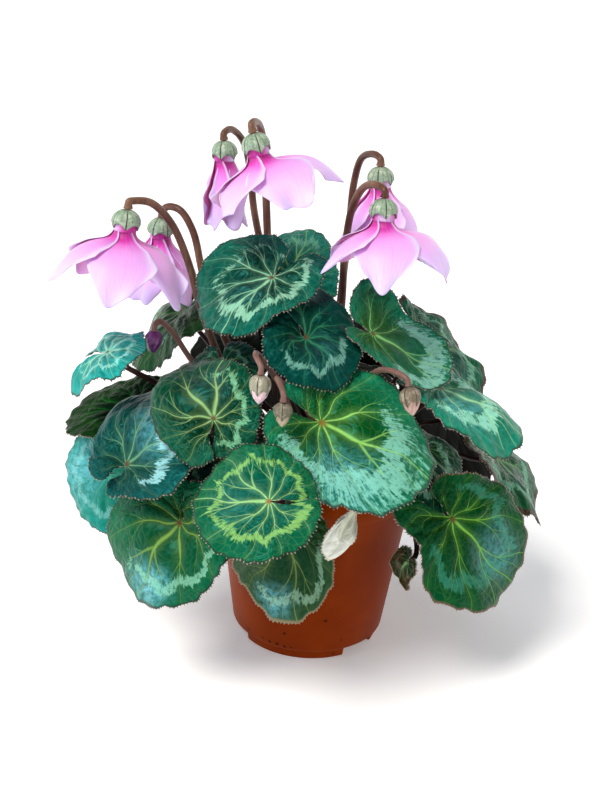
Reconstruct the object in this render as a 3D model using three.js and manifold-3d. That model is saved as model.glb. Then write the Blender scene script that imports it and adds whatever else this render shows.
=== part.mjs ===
// A potted cyclamen: a mound of heart-shaped leaves over a tapered plastic pot, and nodding flowers above.
// Millimetres, +Z up, the origin on the floor under the middle of the pot.
// A bearing turns from the front (-Y) towards the right (+X), and a rise is measured up from the level.

import * as THREE from "three";
import { mergeVertices } from "three/addons/utils/BufferGeometryUtils.js";
import Module from "manifold-3d";

const wasm = await Module();
wasm.setup();

const SEAT_GAP = 0.3; // between pieces that rest on each other

const POT = {
  height: 104,
  rimRadius: 60,
  footRadius: 40,
  baseRadius: 43,
  footHeight: 6,
  wall: 1.4,
  bandHeight: 13,
  bandStep: 3.4,
  floor: 2.4,
  feet: 3,
  notchBearing: 49,
  notchWidth: 34,
  drainHoles: 6,
  drainRadius: 4,
  drainRing: 29,
  sides: 32,
};
const SOIL = { top: 94, crumb: 1.6 };
const CORM = { radius: 21, height: 26, centre: 93 };
const BLADE = { thickness: 0.8, teeth: 16, toothDepth: 0.03, clear: 1.8, swell: 26, tallest: 34 };
const LEAF_STALK = { radius: 1.5, sides: 5, steps: 4, ring: 16, clear: 3 };
const FLOWER_STALK = { radius: 2.1, sides: 6, steps: 16, ring: 5.2 };
const BUD_STALK = { radius: 1.5, sides: 5, steps: 12, ring: 11 };
const CALYX = { radius: 7.4, height: 7.4, tips: 5, wall: 0.8, sides: 15 };
const TUBE = { radius: 5.8, wall: 2, top: 2.6, bottom: 10.5, sides: 12 };
const PETAL = {
  thickness: 0.7,
  root: 9,
  columns: 4,
  stations: [0, 0.15, 0.34, 0.64, 1],
  halfWidths: [3.2, 8.5, 16, 20.5, 10.5],
  shoulder: 33,
  fall: 0.72,
};

// How a blade is formed, as shares of its reach, with the angle from the tip to each lobe's edge.
const LEAF_FORM = {
  rise: 0.12,
  droop: 0.3,
  fold: 0,
  ruffle: 0.06,
  waves: 5,
  curl: 0.05,
  lobes: 170,
  lap: 0,
};

// The leaves from the inside of the mound to the outside: the stalk's end, where the face looks (bearing
// and rise), how far the tip is turned from straight downhill, the reach to the margin at seven even steps
// from the left lobe round by the tip to the right lobe, and the form where it differs.
const LEAVES = {
  leaf_01: [[8, 103, 112], [172, 38], 10, [32, 40, 48, 54, 50, 38, 32], { droop: 0.26 }],
  leaf_02: [[-66, 80, 108], [222, 30], -15, [30, 38, 47, 52, 46, 38, 31], { ruffle: 0.08 }],
  leaf_03: [[76, 70, 106], [132, 30], 12, [31, 38, 46, 50, 47, 38, 30], {}],
  leaf_04: [[-86, 26, 122], [258, 30], 20, [28, 35, 42, 46, 42, 36, 28], { ruffle: 0.08 }],
  leaf_05: [[102, 24, 102], [80, 46], -10, [28, 34, 38, 45, 38, 34, 28], { ruffle: 0.09, droop: 0.15 }],
  leaf_06: [[42, 70, 152], [148, 48], -20, [28, 35, 42, 46, 43, 36, 28], { ruffle: 0.09 }],
  leaf_07: [[-38, 70, 154], [208, 46], 25, [30, 38, 45, 49, 44, 37, 30], {}],
  leaf_08: [
    [55, 20, 170], [70, 52], 0, [32, 35, 40, 53, 38, 31, 30],
    { ruffle: 0.12, waves: 6, droop: 0.2 },
  ],
  leaf_09: [[-80, 30, 176], [285, 50], -10, [25, 34, 40, 42, 38, 34, 25], { ruffle: 0.08 }],
  leaf_10: [[-21, 66, 190], [-4, 45], 172, [24, 28, 27, 37, 27, 28, 24], { ruffle: 0.08 }],
  leaf_11: [[-47, -58, 128], [-30, 62], 10, [20, 24, 28, 30, 28, 24, 20], {}],
  leaf_12: [[49, -46, 130], [36, 60], 10, [16, 22, 31, 35, 31, 22, 16], { ruffle: 0.08 }],
  leaf_13: [[-109, -42, 106], [-30, 16], -60, [30, 30, 30, 31, 31, 31, 30], { droop: 0.2, ruffle: 0.03 }],
  leaf_14: [
    [-66, -80, 100], [-28, 24], -25, [21, 24, 44, 49, 37, 31, 26],
    { droop: 0.28, lobes: 187, lap: 0.06 },
  ],
  leaf_15: [[-14, -80, 105], [0, 12], 10, [15, 19, 35, 54, 28, 17, 14], { droop: 0.16, fold: -0.2 }],
  leaf_16: [[67, -60, 102], [20, 24], 48, [33, 22, 45, 59, 40, 25, 22], { ruffle: 0.07 }],
  leaf_17: [[60, -38, 164], [55, 70], 28, [24, 20, 36, 50, 26, 26, 24], { fold: -0.2, ruffle: 0.08 }],
  leaf_18: [[-51, -42, 170], [-30, 50], 30, [16, 19, 22, 25, 22, 19, 16], {}],
  leaf_19: [[61, -54, 79], [-30, 10], -36, [7, 8, 12, 29, 11, 8, 7], { droop: 0.3, fold: 0.5 }],
  leaf_20: [[18, -66, 110], [14, 4], -34, [4, 4, 5, 27, 3, 4, 4], { droop: 0.1, ruffle: 0.02 }],
  leaf_21: [[-101, -30, 139], [-60, 68], -40, [24, 28, 32, 36, 30, 25, 24], { droop: 0.1, ruffle: 0.03 }],
  leaf_22: [[-93, -70, 124], [-42, 38], 150, [18, 17, 34, 45, 47, 24, 17], { droop: 0.3 }],
  leaf_23: [[1, -84, 160], [12, 44], 62, [28, 34, 44, 60, 42, 30, 27], { droop: 0.24, ruffle: 0.07 }],
  leaf_24: [[-9, -60, 194], [12, 44], 30, [19, 22, 25, 30, 27, 27, 37], { rise: 0.2 }],
  leaf_25: [[21, -44, 189], [20, 42], 66, [16, 14, 23, 47, 24, 30, 16], { droop: 0.1, fold: 0.22 }],
  leaf_26: [[-51, -76, 155], [-22, 38], 196, [20, 24, 25, 35, 41, 27, 25], { lobes: 188, lap: 0.07 }],
  leaf_27: [
    [-20, -110, 127], [-6, 42], -92, [23, 23, 29, 38, 32, 26, 26],
    { lobes: 190, lap: 0.07, fold: 0.2 },
  ],
  leaf_28: [[-27, -46, 219], [-12, 40], -34, [19, 31, 41, 37, 22, 22, 28], { ruffle: 0.08 }],
  leaf_29: [[-109, -42, 174], [-52, 58], 130, [27, 18, 18, 18, 21, 22, 19], { ruffle: 0.1 }],
};

// Each flower: the crown's side its stalk leaves from, the points the stalk passes, the top of the calyx,
// the way the flower hangs (bearing and tilt from straight down), and its petals: the first one's turn,
// their spread with how much more it is towards one side, and their lengths.
const FLOWERS = {
  flower_1: {
    crown: -70,
    through: [
      [-40, -17, 140], [-62, -18, 185], [-72, -22, 220],
      [-80, -26, 239], [-89, -33, 250], [-97, -40, 252],
    ],
    top: [-99, -42, 248],
    hangs: [-60, 8],
    petals: [-8, [38, 4, 60], [42, 46, 47, 43, 44]],
  },
  flower_2: {
    crown: -130,
    through: [[-36, 0, 140], [-57, 0, 180], [-66, 0, 206], [-72, 3, 228], [-79, 6, 238], [-86, 10, 239]],
    top: [-90, 13, 232],
    hangs: [-100, 4],
    petals: [10, [8, 0, 0], [36, 38, 38, 36, 36]],
  },
  flower_3: {
    crown: -10,
    through: [
      [-18, -2, 140], [-30, 2, 200], [-34, 5, 240],
      [-36, 3, 268], [-38, -8, 285], [-40, -24, 291],
    ],
    top: [-40, -34, 287],
    hangs: [90, 16],
    petals: [-134, [43, 10, 0], [36, 42, 42, 38, 36]],
  },
  flower_4: {
    crown: 170,
    through: [
      [-16, 18, 140], [-32, 40, 190], [-44, 57, 230],
      [-47, 59, 251], [-51, 53, 268], [-57, 42, 276],
    ],
    top: [-60, 34, 271],
    hangs: [60, 4],
    petals: [36, [-20, 0, 0], [37, 37, 38, 38, 37]],
  },
  flower_5: {
    crown: 50,
    through: [[3, -6, 140], [8, -4, 190], [8, -4, 226], [10, -8, 247], [15, -19, 261], [21, -31, 265]],
    top: [25, -38, 260],
    hangs: [10, 6],
    petals: [-10, [40, 8, 90], [44, 44, 40, 38, 37]],
  },
  flower_6: {
    crown: 110,
    through: [[5, 14, 140], [8, 32, 190], [10, 42, 228], [11, 44, 250], [14, 38, 265], [20, 26, 270]],
    top: [24, 18, 265],
    hangs: [60, 4],
    petals: [0, [6, 0, 0], [36, 36, 36, 36, 36]],
  },
};

const BUDS = {
  bud_1: {
    crown: -34,
    through: [[-18, -28, 150], [-26, -48, 172], [-32, -62, 185], [-32, -74, 188]],
    top: [-29, -81, 181],
    hangs: [-10, 6],
    size: 0.8,
  },
  bud_2: {
    crown: 10,
    through: [[-6, -34, 145], [-17, -62, 168], [-21, -84, 181], [-19, -94, 182]],
    top: [-17, -100, 175],
    hangs: [0, 4],
    size: 0.66,
  },
  bud_3: {
    crown: 70,
    through: [[16, -30, 144], [24, -55, 174], [29, -71, 184], [36, -83, 187]],
    top: [41, -88, 182],
    hangs: [40, 20],
    size: 0.75,
  },
};

// The furled young leaf, hanging like the flowers.
const YOUNG_LEAF = {
  crown: -100,
  through: [[-40, -10, 130], [-66, -18, 160], [-80, -25, 183], [-85, -29, 188]],
  top: [-87, -31, 183],
  hangs: [-90, 2],
  size: 0.8,
};

const rad = THREE.MathUtils.degToRad;
const vec = (p) => new THREE.Vector3(...p);

function heading(bearing, rise) {
  const [b, e] = [rad(bearing), rad(rise)];
  return new THREE.Vector3(Math.sin(b) * Math.cos(e), -Math.cos(b) * Math.cos(e), Math.sin(e));
}

// Rises smoothly from 0 to 1 as x goes from low to high.
function ramp(x, low, high) {
  const t = THREE.MathUtils.clamp((x - low) / (high - low), 0, 1);
  return t * t * (3 - 2 * t);
}

function solidOf(geometry) {
  const bare = geometry.clone();
  bare.deleteAttribute("normal");
  bare.deleteAttribute("uv");
  const merged = mergeVertices(bare, 1e-4);
  return new wasm.Manifold(
    new wasm.Mesh({
      numProp: 3,
      vertProperties: merged.attributes.position.array,
      triVerts: new Uint32Array(merged.index.array),
    }),
  );
}

function geometryOf(solid) {
  const mesh = solid.getMesh();
  return new THREE.BufferGeometry()
    .setAttribute("position", new THREE.BufferAttribute(mesh.vertProperties, 3))
    .setIndex(new THREE.BufferAttribute(mesh.triVerts, 1));
}

// A closed thin solid round a sheet of points, with the same triangles on both faces.
function thinSolid(points, faces, thickness) {
  const normals = points.map(() => new THREE.Vector3());
  for (const [a, b, c] of faces) {
    const across = points[c].clone().sub(points[a]);
    const facing = points[b].clone().sub(points[a]).cross(across);
    for (const i of [a, b, c]) normals[i].add(facing);
  }
  const half = thickness / 2;
  const upper = points.map((p, i) => p.clone().addScaledVector(normals[i].normalize(), half));
  const lower = points.map((p, i) => p.clone().addScaledVector(normals[i], -half));
  const open = new Set();
  for (const [a, b, c] of faces) {
    for (const [p, q] of [[a, b], [b, c], [c, a]]) {
      if (!open.delete(`${q},${p}`)) open.add(`${p},${q}`);
    }
  }
  const n = points.length;
  const triangles = faces.flatMap(([a, b, c]) => [[a, b, c], [n + a, n + c, n + b]]);
  for (const edge of open) {
    const [a, b] = edge.split(",").map(Number);
    triangles.push([a, n + a, n + b], [a, n + b, b]);
  }
  const flat = [...upper, ...lower].flatMap((p) => p.toArray());
  return new THREE.BufferGeometry()
    .setAttribute("position", new THREE.Float32BufferAttribute(flat, 3))
    .setIndex(triangles.flat());
}

function tube(curve, radius, sides, steps) {
  const ring = Array.from({ length: sides }, (_, i) => {
    const a = (2 * Math.PI * i) / sides;
    return new THREE.Vector2(radius * Math.cos(a), radius * Math.sin(a));
  });
  return new THREE.ExtrudeGeometry(new THREE.Shape(ring), { steps, extrudePath: curve });
}

// A leaf blade's own frame, from its stalk's end: towards the tip, to the side and out of the upper face.
function bladeFrame([end, [bearing, rise], turn]) {
  const face = heading(bearing, rise);
  const downhill = heading(bearing, rise - 90);
  const tip = downhill.applyAxisAngle(face, rad(turn));
  const side = face.clone().cross(tip);
  return new THREE.Matrix4().makeBasis(tip, side, face).setPosition(...end);
}

// Reach of a blade's margin at a share (-1 to 1) of the way from the left lobe's edge to the right lobe's.
function marginReach(reaches, share) {
  const steps = reaches.map((_, i) => 0.9 * ((2 * i) / (reaches.length - 1) - 1));
  const [reach] = new THREE.CubicInterpolant(steps, reaches, 1).evaluate(share);
  const fromCleft = Math.min((1 - Math.abs(share)) / 0.15, 1);
  return reach * (0.7 + 0.3 * Math.sqrt(1 - (1 - fromCleft) ** 2));
}

// A point of the blade at a share of the way round, and out along that line from the stalk's end (0 to 1).
function bladePoint([, , , reaches, changes], index, share, out, tooth = 0) {
  const form = { ...LEAF_FORM, ...changes };
  const size = reaches[3];
  const r = ((out * marginReach(reaches, share)) / size) * (1 + tooth);
  const lobes = THREE.MathUtils.lerp(Math.min(form.lobes, 169), form.lobes, ramp(r, 0.12, 0.6));
  const angle = rad(share * lobes);
  const [u, v] = [r * Math.cos(angle), r * Math.sin(angle)];
  const funnel = form.rise * (1 - Math.exp(-((r / 0.3) ** 2)));
  const crease = form.fold * (Math.hypot(v, 0.12) - 0.12);
  const ruffle = form.ruffle * r ** 2 * Math.sin(form.waves * angle + 2.4 * index);
  const lap = form.lap * Math.sign(share) * ramp(Math.abs(share), 0.5, 0.9) * ramp(r, 0.1, 0.5);
  const fall = form.droop * r ** 2 + form.curl * Math.max(u, 0) ** 3;
  const w = funnel + crease + ruffle + lap - fall;
  return new THREE.Vector3(u, v, w).multiplyScalar(size);
}

// The blade's sheet: a toothed margin, rings with half and a quarter of its points, and the stalk's end.
function bladeSheet(leaf, index) {
  const rings = [[2 * BLADE.teeth, 1], [BLADE.teeth, 0.74], [BLADE.teeth / 2, 0.38]];
  const points = [];
  const starts = [];
  for (const [count, out] of rings) {
    starts.push(points.length);
    for (let i = 0; i <= count; i++) {
      const tooth = out === 1 && i > 0 && i < count ? BLADE.toothDepth * (i % 2 ? 1 : -1) : 0;
      points.push(bladePoint(leaf, index, (2 * i) / count - 1, out, tooth));
    }
  }
  const faces = [];
  for (const level of [0, 1]) {
    const [outer, inner] = [starts[level], starts[level + 1]];
    for (let i = 0; i < rings[level + 1][0]; i++) {
      faces.push([inner + i, outer + 2 * i, outer + 2 * i + 1]);
      faces.push([inner + i, outer + 2 * i + 1, inner + i + 1]);
      faces.push([inner + i + 1, outer + 2 * i + 1, outer + 2 * i + 2]);
    }
  }
  const middle = points.push(bladePoint(leaf, index, 0, 0)) - 1;
  for (let i = 0; i < rings[2][0]; i++) faces.push([middle, starts[2] + i, starts[2] + i + 1]);
  return { points, faces, middle };
}

// The highest of the given triangles over each cell of the plane under a blade, in that blade's frame.
function heightsUnder(points, triangles) {
  const cell = 2.5;
  const box = new THREE.Box3().setFromPoints(points).expandByScalar(2 * cell);
  const key = (i, j) => i * 1000 + j;
  const heights = new Map();
  const column = (u) => Math.round((u - box.min.x) / cell);
  const row = (v) => Math.round((v - box.min.y) / cell);
  for (const corners of triangles) {
    const [a, b, c] = corners;
    const reach = new THREE.Box3().setFromPoints(corners);
    if (reach.max.x < box.min.x || reach.min.x > box.max.x) continue;
    if (reach.max.y < box.min.y || reach.min.y > box.max.y) continue;
    const normal = b.clone().sub(a).cross(c.clone().sub(a));
    const flat = Math.abs(normal.z) < 1e-3 * normal.length();
    for (let i = column(reach.min.x); i <= column(reach.max.x); i++) {
      for (let j = row(reach.min.y); j <= row(reach.max.y); j++) {
        const p = new THREE.Vector3(box.min.x + i * cell, box.min.y + j * cell, 0);
        if (!nearInPlan(p, corners, 0.8 * cell)) continue;
        const plane = a.z - (normal.x * (p.x - a.x) + normal.y * (p.y - a.y)) / normal.z;
        const slope = (Math.abs(normal.x) + Math.abs(normal.y)) / Math.abs(normal.z);
        const high = flat ? reach.max.z : Math.min(plane + 0.5 * cell * slope, reach.max.z);
        if (high > (heights.get(key(i, j)) ?? -Infinity)) heights.set(key(i, j), high);
      }
    }
  }
  return (p) => heights.get(key(column(p.x), row(p.y))) ?? -Infinity;
}

// Whether p lies within a margin of a triangle, seen along its third axis.
function nearInPlan(p, [a, b, c], margin) {
  const turn = (c.x - a.x) * (b.y - a.y) - (c.y - a.y) * (b.x - a.x) > 0 ? 1 : -1;
  return [[a, b], [b, c], [c, a]].every(([from, to]) => {
    const [dx, dy] = [to.x - from.x, to.y - from.y];
    const off = (turn * ((p.x - from.x) * dy - (p.y - from.y) * dx)) / (Math.hypot(dx, dy) || 1);
    return off > -margin;
  });
}

// Lifts a blade along its own face, in smooth swells, until it lies clear over the blades already laid.
function layOver(sheet, triangles) {
  const heightAt = heightsUnder(sheet.points, triangles);
  const inFace = [[1, 0, 0], [0.5, 0.5, 0], [0, 0.5, 0.5], [0.5, 0, 0.5], [0.34, 0.33, 0.33]];
  for (let pass = 0; pass < 20; pass++) {
    const need = sheet.points.map(() => 0);
    for (const face of sheet.faces) {
      const corners = face.map((i) => sheet.points[i]);
      for (const share of inFace) {
        const p = new THREE.Vector3();
        corners.forEach((corner, i) => p.addScaledVector(corner, share[i]));
        const short = heightAt(p) + BLADE.clear - p.z;
        if (short > 0 && short < BLADE.tallest) for (const i of face) need[i] = Math.max(need[i], short);
      }
    }
    if (!need.some((n) => n > 0)) return;
    const lifts = sheet.points.map((p) => {
      const away = sheet.points.map((q) => Math.hypot(p.x - q.x, p.y - q.y));
      const swells = away.map((far, i) => need[i] * (1 - ramp(far, 0, BLADE.swell)));
      return Math.max(...swells);
    });
    lifts.forEach((lift, i) => (sheet.points[i].z += lift));
  }
}

function makeBlades() {
  const laid = [];
  return Object.entries(LEAVES).map(([name, leaf], index) => {
    const frame = bladeFrame(leaf);
    const toFrame = frame.clone().invert();
    const sheet = bladeSheet(leaf, index);
    layOver(sheet, laid.map((corners) => corners.map((p) => p.clone().applyMatrix4(toFrame))));
    const points = sheet.points.map((p) => p.clone().applyMatrix4(frame));
    const corners = sheet.faces.map((face) => face.map((i) => points[i]));
    laid.push(...corners);
    const end = points[sheet.middle];
    const face = new THREE.Vector3();
    const spokes = [];
    for (const [a, b, c] of corners.filter((_, i) => sheet.faces[i].includes(sheet.middle))) {
      spokes.push(b.clone().sub(end).normalize(), c.clone().sub(end).normalize());
      face.add(b.clone().sub(a).cross(c.clone().sub(a)));
    }
    face.normalize();
    const dip = LEAF_STALK.radius * Math.max(0, ...spokes.map((spoke) => -spoke.dot(face)));
    const geometry = thinSolid(points, sheet.faces, BLADE.thickness);
    return { name, geometry, corners, end, face, dip };
  });
}

// The corm's surface on a ring round its crown, with the way out of it there.
function crown(bearing, ring) {
  const rise = CORM.height / 2 / CORM.radius;
  const level = Math.sqrt(CORM.radius ** 2 - ring ** 2);
  const out = heading(bearing, 0);
  const point = out.clone().multiplyScalar(ring).setZ(CORM.centre + rise * level);
  return { point, normal: out.multiplyScalar(ring * rise ** 2).setZ(rise * level).normalize() };
}

// How far a leaf stalk may bow out at its foot, sway sideways and drop below its blade, best first.
const STALK_BOWS = [0.35, 0.55, 0.2, 0.75, 1].flatMap((bow) =>
  [0, 0.12, -0.12, 0.25, -0.25].flatMap((sway) => [0.22, 0.35, 0.12].map((drop) => [bow, sway, drop])),
);

// A leaf stalk's line from inside the corm to just under its blade, in the first bow that keeps it clear.
function leafStalkLine(blade, corners, others) {
  const under = BLADE.thickness / 2 + SEAT_GAP + blade.dip;
  const end = blade.end.clone().addScaledVector(blade.face, -under);
  const bearing = THREE.MathUtils.radToDeg(Math.atan2(end.x, -end.y));
  const start = crown(bearing, LEAF_STALK.ring);
  const foot = start.point.clone().addScaledVector(start.normal, -4);
  const span = foot.distanceTo(end);
  const side = new THREE.Vector3().crossVectors(start.normal, end.clone().sub(foot)).normalize();
  let best = null;
  for (const [bow, sway, drop] of STALK_BOWS) {
    const rise = foot.clone().addScaledVector(start.normal, bow * span).addScaledVector(side, sway * span);
    const below = end.clone().addScaledVector(blade.face, -drop * span);
    const line = new THREE.CubicBezierCurve3(foot, rise, below, end);
    const room = roomAlong(line, corners, others);
    if (!best || room > best.room) best = { line, room };
    if (best.room > LEAF_STALK.clear) break;
  }
  return best.line;
}

// The least room round a line, short of its ends, to given triangles, other stalks and the pot's rim.
function roomAlong(line, corners, others) {
  const triangle = new THREE.Triangle();
  const nearest = new THREE.Vector3();
  const spots = line.getPoints(14).slice(2, -1);
  const overRim = spots.filter((p) => Math.abs(Math.hypot(p.x, p.y) - POT.rimRadius) < 6);
  let room = Math.min(...overRim.map((p) => p.z - POT.height - 1));
  for (const p of spots) room = Math.min(room, ...others.map((q) => p.distanceTo(q) - FLOWER_STALK.radius));
  for (const [a, b, c] of corners) {
    triangle.set(a, b, c);
    for (const p of spots) room = Math.min(room, triangle.closestPointToPoint(p, nearest).distanceTo(p));
  }
  return room;
}

function makeCormAndStalks(blades, others) {
  const corners = blades.flatMap((blade) => blade.corners);
  const corm = new THREE.SphereGeometry(CORM.radius, 16, 8).rotateX(Math.PI / 2);
  corm.scale(1, 1, CORM.height / 2 / CORM.radius).translate(0, 0, CORM.centre);
  let body = solidOf(corm);
  for (const blade of blades) {
    const line = leafStalkLine(blade, corners, others);
    body = body.add(solidOf(tube(line, LEAF_STALK.radius, LEAF_STALK.sides, LEAF_STALK.steps)));
  }
  return geometryOf(body);
}

function makePot() {
  const foot = POT.footHeight;
  const bandFrom = POT.height - POT.bandHeight;
  const slope = (POT.rimRadius - POT.bandStep - POT.baseRadius) / (POT.height - foot);
  const outer = (z) => POT.baseRadius + slope * (z - foot);
  const floorTop = foot + POT.floor;
  const profile = [
    [0, foot - 0.5],
    [POT.footRadius - 5, foot - 0.5],
    [POT.footRadius - 4, 0],
    [POT.footRadius, 0],
    [POT.footRadius + 1, foot - 0.5],
    [POT.baseRadius, foot + 1.2],
    [outer(bandFrom - 1), bandFrom - 1],
    [outer(bandFrom) + POT.bandStep, bandFrom],
    [POT.rimRadius, POT.height - 0.6],
    [POT.rimRadius - 0.6, POT.height],
    [outer(POT.height) - POT.wall, POT.height],
    [outer(floorTop) - POT.wall, floorTop],
    [0, floorTop],
  ].map(([r, z]) => new THREE.Vector2(r, z));
  let pot = solidOf(new THREE.LatheGeometry(profile, POT.sides).rotateX(Math.PI / 2));
  for (let i = 0; i < POT.feet; i++) {
    const bearing = POT.notchBearing + (360 * i) / POT.feet;
    const width = 2 * POT.footRadius * Math.sin(rad(POT.notchWidth / 2));
    const notch = new THREE.BoxGeometry(width, 16, 2 * (foot - 0.8)).translate(0, -POT.footRadius, 0);
    pot = pot.subtract(solidOf(notch.rotateZ(rad(bearing))));
  }
  for (let i = 0; i < POT.drainHoles; i++) {
    const hole = new THREE.CylinderGeometry(POT.drainRadius, POT.drainRadius, 30, 8).rotateX(Math.PI / 2);
    hole.translate(0, -POT.drainRing, 0).rotateZ((2 * Math.PI * i) / POT.drainHoles);
    pot = pot.subtract(solidOf(hole));
  }
  return geometryOf(pot);
}

function makeSoil() {
  const foot = POT.footHeight;
  const slope = (POT.rimRadius - POT.bandStep - POT.baseRadius) / (POT.height - foot);
  const inner = (z) => POT.baseRadius + slope * (z - foot) - POT.wall - 1.5 * SEAT_GAP;
  const bottom = foot + POT.floor + SEAT_GAP;
  const rings = [0, 12, 20, 28, 36, 44].map((r, i) => new THREE.Vector2(r, SOIL.top + (i % 2) * 0.6));
  const profile = [new THREE.Vector2(0, bottom), new THREE.Vector2(inner(bottom), bottom)];
  profile.push(new THREE.Vector2(inner(SOIL.top), SOIL.top - 0.5), ...rings.reverse());
  const geometry = new THREE.LatheGeometry(profile, 16).rotateX(Math.PI / 2);
  const place = geometry.attributes.position;
  for (let i = 0; i < place.count; i++) {
    const [x, y, z] = [place.getX(i), place.getY(i), place.getZ(i)];
    const lumps = Math.sin(0.31 * x + 1) * Math.cos(0.27 * y) + 0.6 * Math.sin(0.5 * (x - y));
    if (z > SOIL.top - 0.4) place.setZ(i, z + SOIL.crumb * lumps);
  }
  const socket = new THREE.SphereGeometry(CORM.radius + SEAT_GAP, 16, 8).rotateX(Math.PI / 2);
  const tall = (CORM.height / 2 + SEAT_GAP) / (CORM.radius + SEAT_GAP);
  socket.scale(1, 1, tall).translate(0, 0, CORM.centre);
  return geometryOf(solidOf(geometry).subtract(solidOf(socket)));
}

// A flower's own frame: its first axis points down the hanging flower, with the calyx's top at the start.
function flowerFrame({ top, hangs: [bearing, tilt] }) {
  const down = heading(bearing, tilt - 90);
  const front = heading(bearing, tilt);
  return new THREE.Matrix4().makeBasis(down, front.clone().cross(down), front).setPosition(...top);
}

// A point beside a flower's axis: how far down, how far out, and the turn about the axis.
function around(down, out, turn) {
  return new THREE.Vector3(down, out * Math.sin(rad(turn)), out * Math.cos(rad(turn)));
}

// A dome of sepals closed at its top, each sepal ending in a point.
function makeCalyx(size) {
  const { radius, height, tips, sides } = CALYX;
  const rings = [[0.3, 0.75], [1, 1]];
  const points = [around(0, 0, 0)];
  for (const [down, out] of rings) {
    for (let i = 0; i < sides; i++) {
      const turn = (360 * i) / sides;
      const point = Math.abs(((i * tips) / sides) % 1 - 0.5) * 2;
      const tip = down === 1 ? 0.62 * point ** 2 : 0;
      points.push(around(height * (down + tip), radius * (out - 0.05 * tip), turn));
    }
  }
  const faces = [];
  for (let i = 0; i < sides; i++) {
    const next = (i + 1) % sides;
    faces.push([0, 1 + i, 1 + next]);
    for (let ring = 0; ring < rings.length - 1; ring++) {
      const [above, below] = [1 + ring * sides, 1 + (ring + 1) * sides];
      faces.push([above + i, below + i, below + next], [above + i, below + next, above + next]);
    }
  }
  return thinSolid(points, faces, CALYX.wall).scale(size, size, size);
}

// How far down and out a petal is after a length along it: flaring under the sepals, then falling again.
function petalLine(spread, along) {
  let [down, out] = [PETAL.root, TUBE.radius - TUBE.wall / 2];
  const step = 2;
  for (let gone = 0; gone < along - 1e-6; gone += step) {
    const part = Math.min(step, along - gone);
    const flare = ramp(gone, -1, 9) * (spread + PETAL.shoulder) * (1 - PETAL.fall * ramp(gone, 10, 38));
    down += part * Math.cos(rad(flare));
    out += part * Math.sin(rad(flare));
  }
  return [down, out];
}

// One petal's sheet. Its right side lies over the next petal's left side all the way round the flower.
function petalSheet(turn, length, [spread, extra, toward]) {
  const { stations, columns, halfWidths } = PETAL;
  const points = [];
  const faces = [];
  stations.forEach((station, row) => {
    for (let i = 0; i <= columns; i++) {
      const side = (2 * i) / columns - 1;
      const along = length * station * (1 - 0.26 * station * side ** 2);
      const [, middle] = petalLine(spread, along);
      const angle = turn + THREE.MathUtils.radToDeg(Math.atan2(side * halfWidths[row], middle));
      const [down, out] = petalLine(spread + extra * Math.cos(rad(angle - toward)), along);
      const lap = 2.2 * side * Math.sqrt(station);
      points.push(around(down, out * Math.hypot(1, (0.35 * side * halfWidths[row]) / middle) + lap, angle));
      if (row > 0 && i > 0) {
        const [a, b] = [(row - 1) * (columns + 1) + i - 1, row * (columns + 1) + i - 1];
        faces.push([a, b, b + 1], [a, b + 1, a + 1]);
      }
    }
  });
  return { points, faces };
}

function makeCorolla({ petals: [first, spread, lengths] }) {
  const { radius, wall, top, bottom, sides } = TUBE;
  const profile = [[0, top], [0.6 * radius, top + 1], [radius, top + 4], [radius, bottom]];
  const inside = [[radius - wall, bottom], [radius - wall, top + 4.6], [0, top + 2]];
  const cup = [...profile, ...inside].reverse().map(([out, down]) => new THREE.Vector2(out, -down));
  let corolla = solidOf(new THREE.LatheGeometry(cup, sides).rotateZ(Math.PI / 2));
  lengths.forEach((length, i) => {
    const { points, faces } = petalSheet(first + (360 * i) / lengths.length, length, spread);
    corolla = corolla.add(solidOf(thinSolid(points, faces, PETAL.thickness)));
  });
  return geometryOf(corolla);
}

// The furled petals of a bud, a pointed body under its calyx.
function makeFurledPetals(size) {
  const profile = [[0, 1.8], [4, 3], [5.6, 5.6], [5.6, 9], [4, 13], [0, 18]].reverse();
  const cone = new THREE.LatheGeometry(profile.map(([out, down]) => new THREE.Vector2(out, -down)), 10);
  return cone.rotateZ(Math.PI / 2).scale(size, size, size);
}

function stalkLine(flower, ring) {
  const start = crown(flower.crown, ring);
  const down = heading(flower.hangs[0], flower.hangs[1] - 90);
  const end = vec(flower.top).addScaledVector(down, -CALYX.wall / 2 - SEAT_GAP);
  const foot = start.point.clone().addScaledVector(start.normal, SEAT_GAP + 0.1);
  const lift = foot.clone().addScaledVector(start.normal, 4);
  const rest = end.clone().addScaledVector(down, -3);
  const line = new THREE.CatmullRomCurve3([foot, lift, ...flower.through.map(vec), rest, end]);
  line.getPointAt = line.getPoint; // so its sections crowd where its points do, round the bend
  line.getTangentAt = line.getTangent;
  return line;
}

const group = new THREE.Group();

function add(parent, name, geometry, color, roughness = 0.5) {
  const mesh = new THREE.Mesh(geometry, new THREE.MeshStandardMaterial({ color, roughness, metalness: 0 }));
  mesh.name = name;
  parent.add(mesh);
  return mesh;
}

function addHanging(name, flower) {
  const hanging = new THREE.Group();
  hanging.applyMatrix4(flowerFrame(flower));
  group.add(hanging);
  return hanging;
}

const blades = makeBlades();
const nodding = Object.entries({ ...FLOWERS, ...BUDS, young_leaf: YOUNG_LEAF }).map(([name, flower]) => {
  const stalk = name in FLOWERS ? FLOWER_STALK : BUD_STALK;
  const line = stalkLine(flower, stalk.ring);
  return { name, flower, line, stalk: tube(line, stalk.radius, stalk.sides, stalk.steps) };
});
const stalkSpots = nodding.flatMap(({ line }) => line.getPoints(60));

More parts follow.
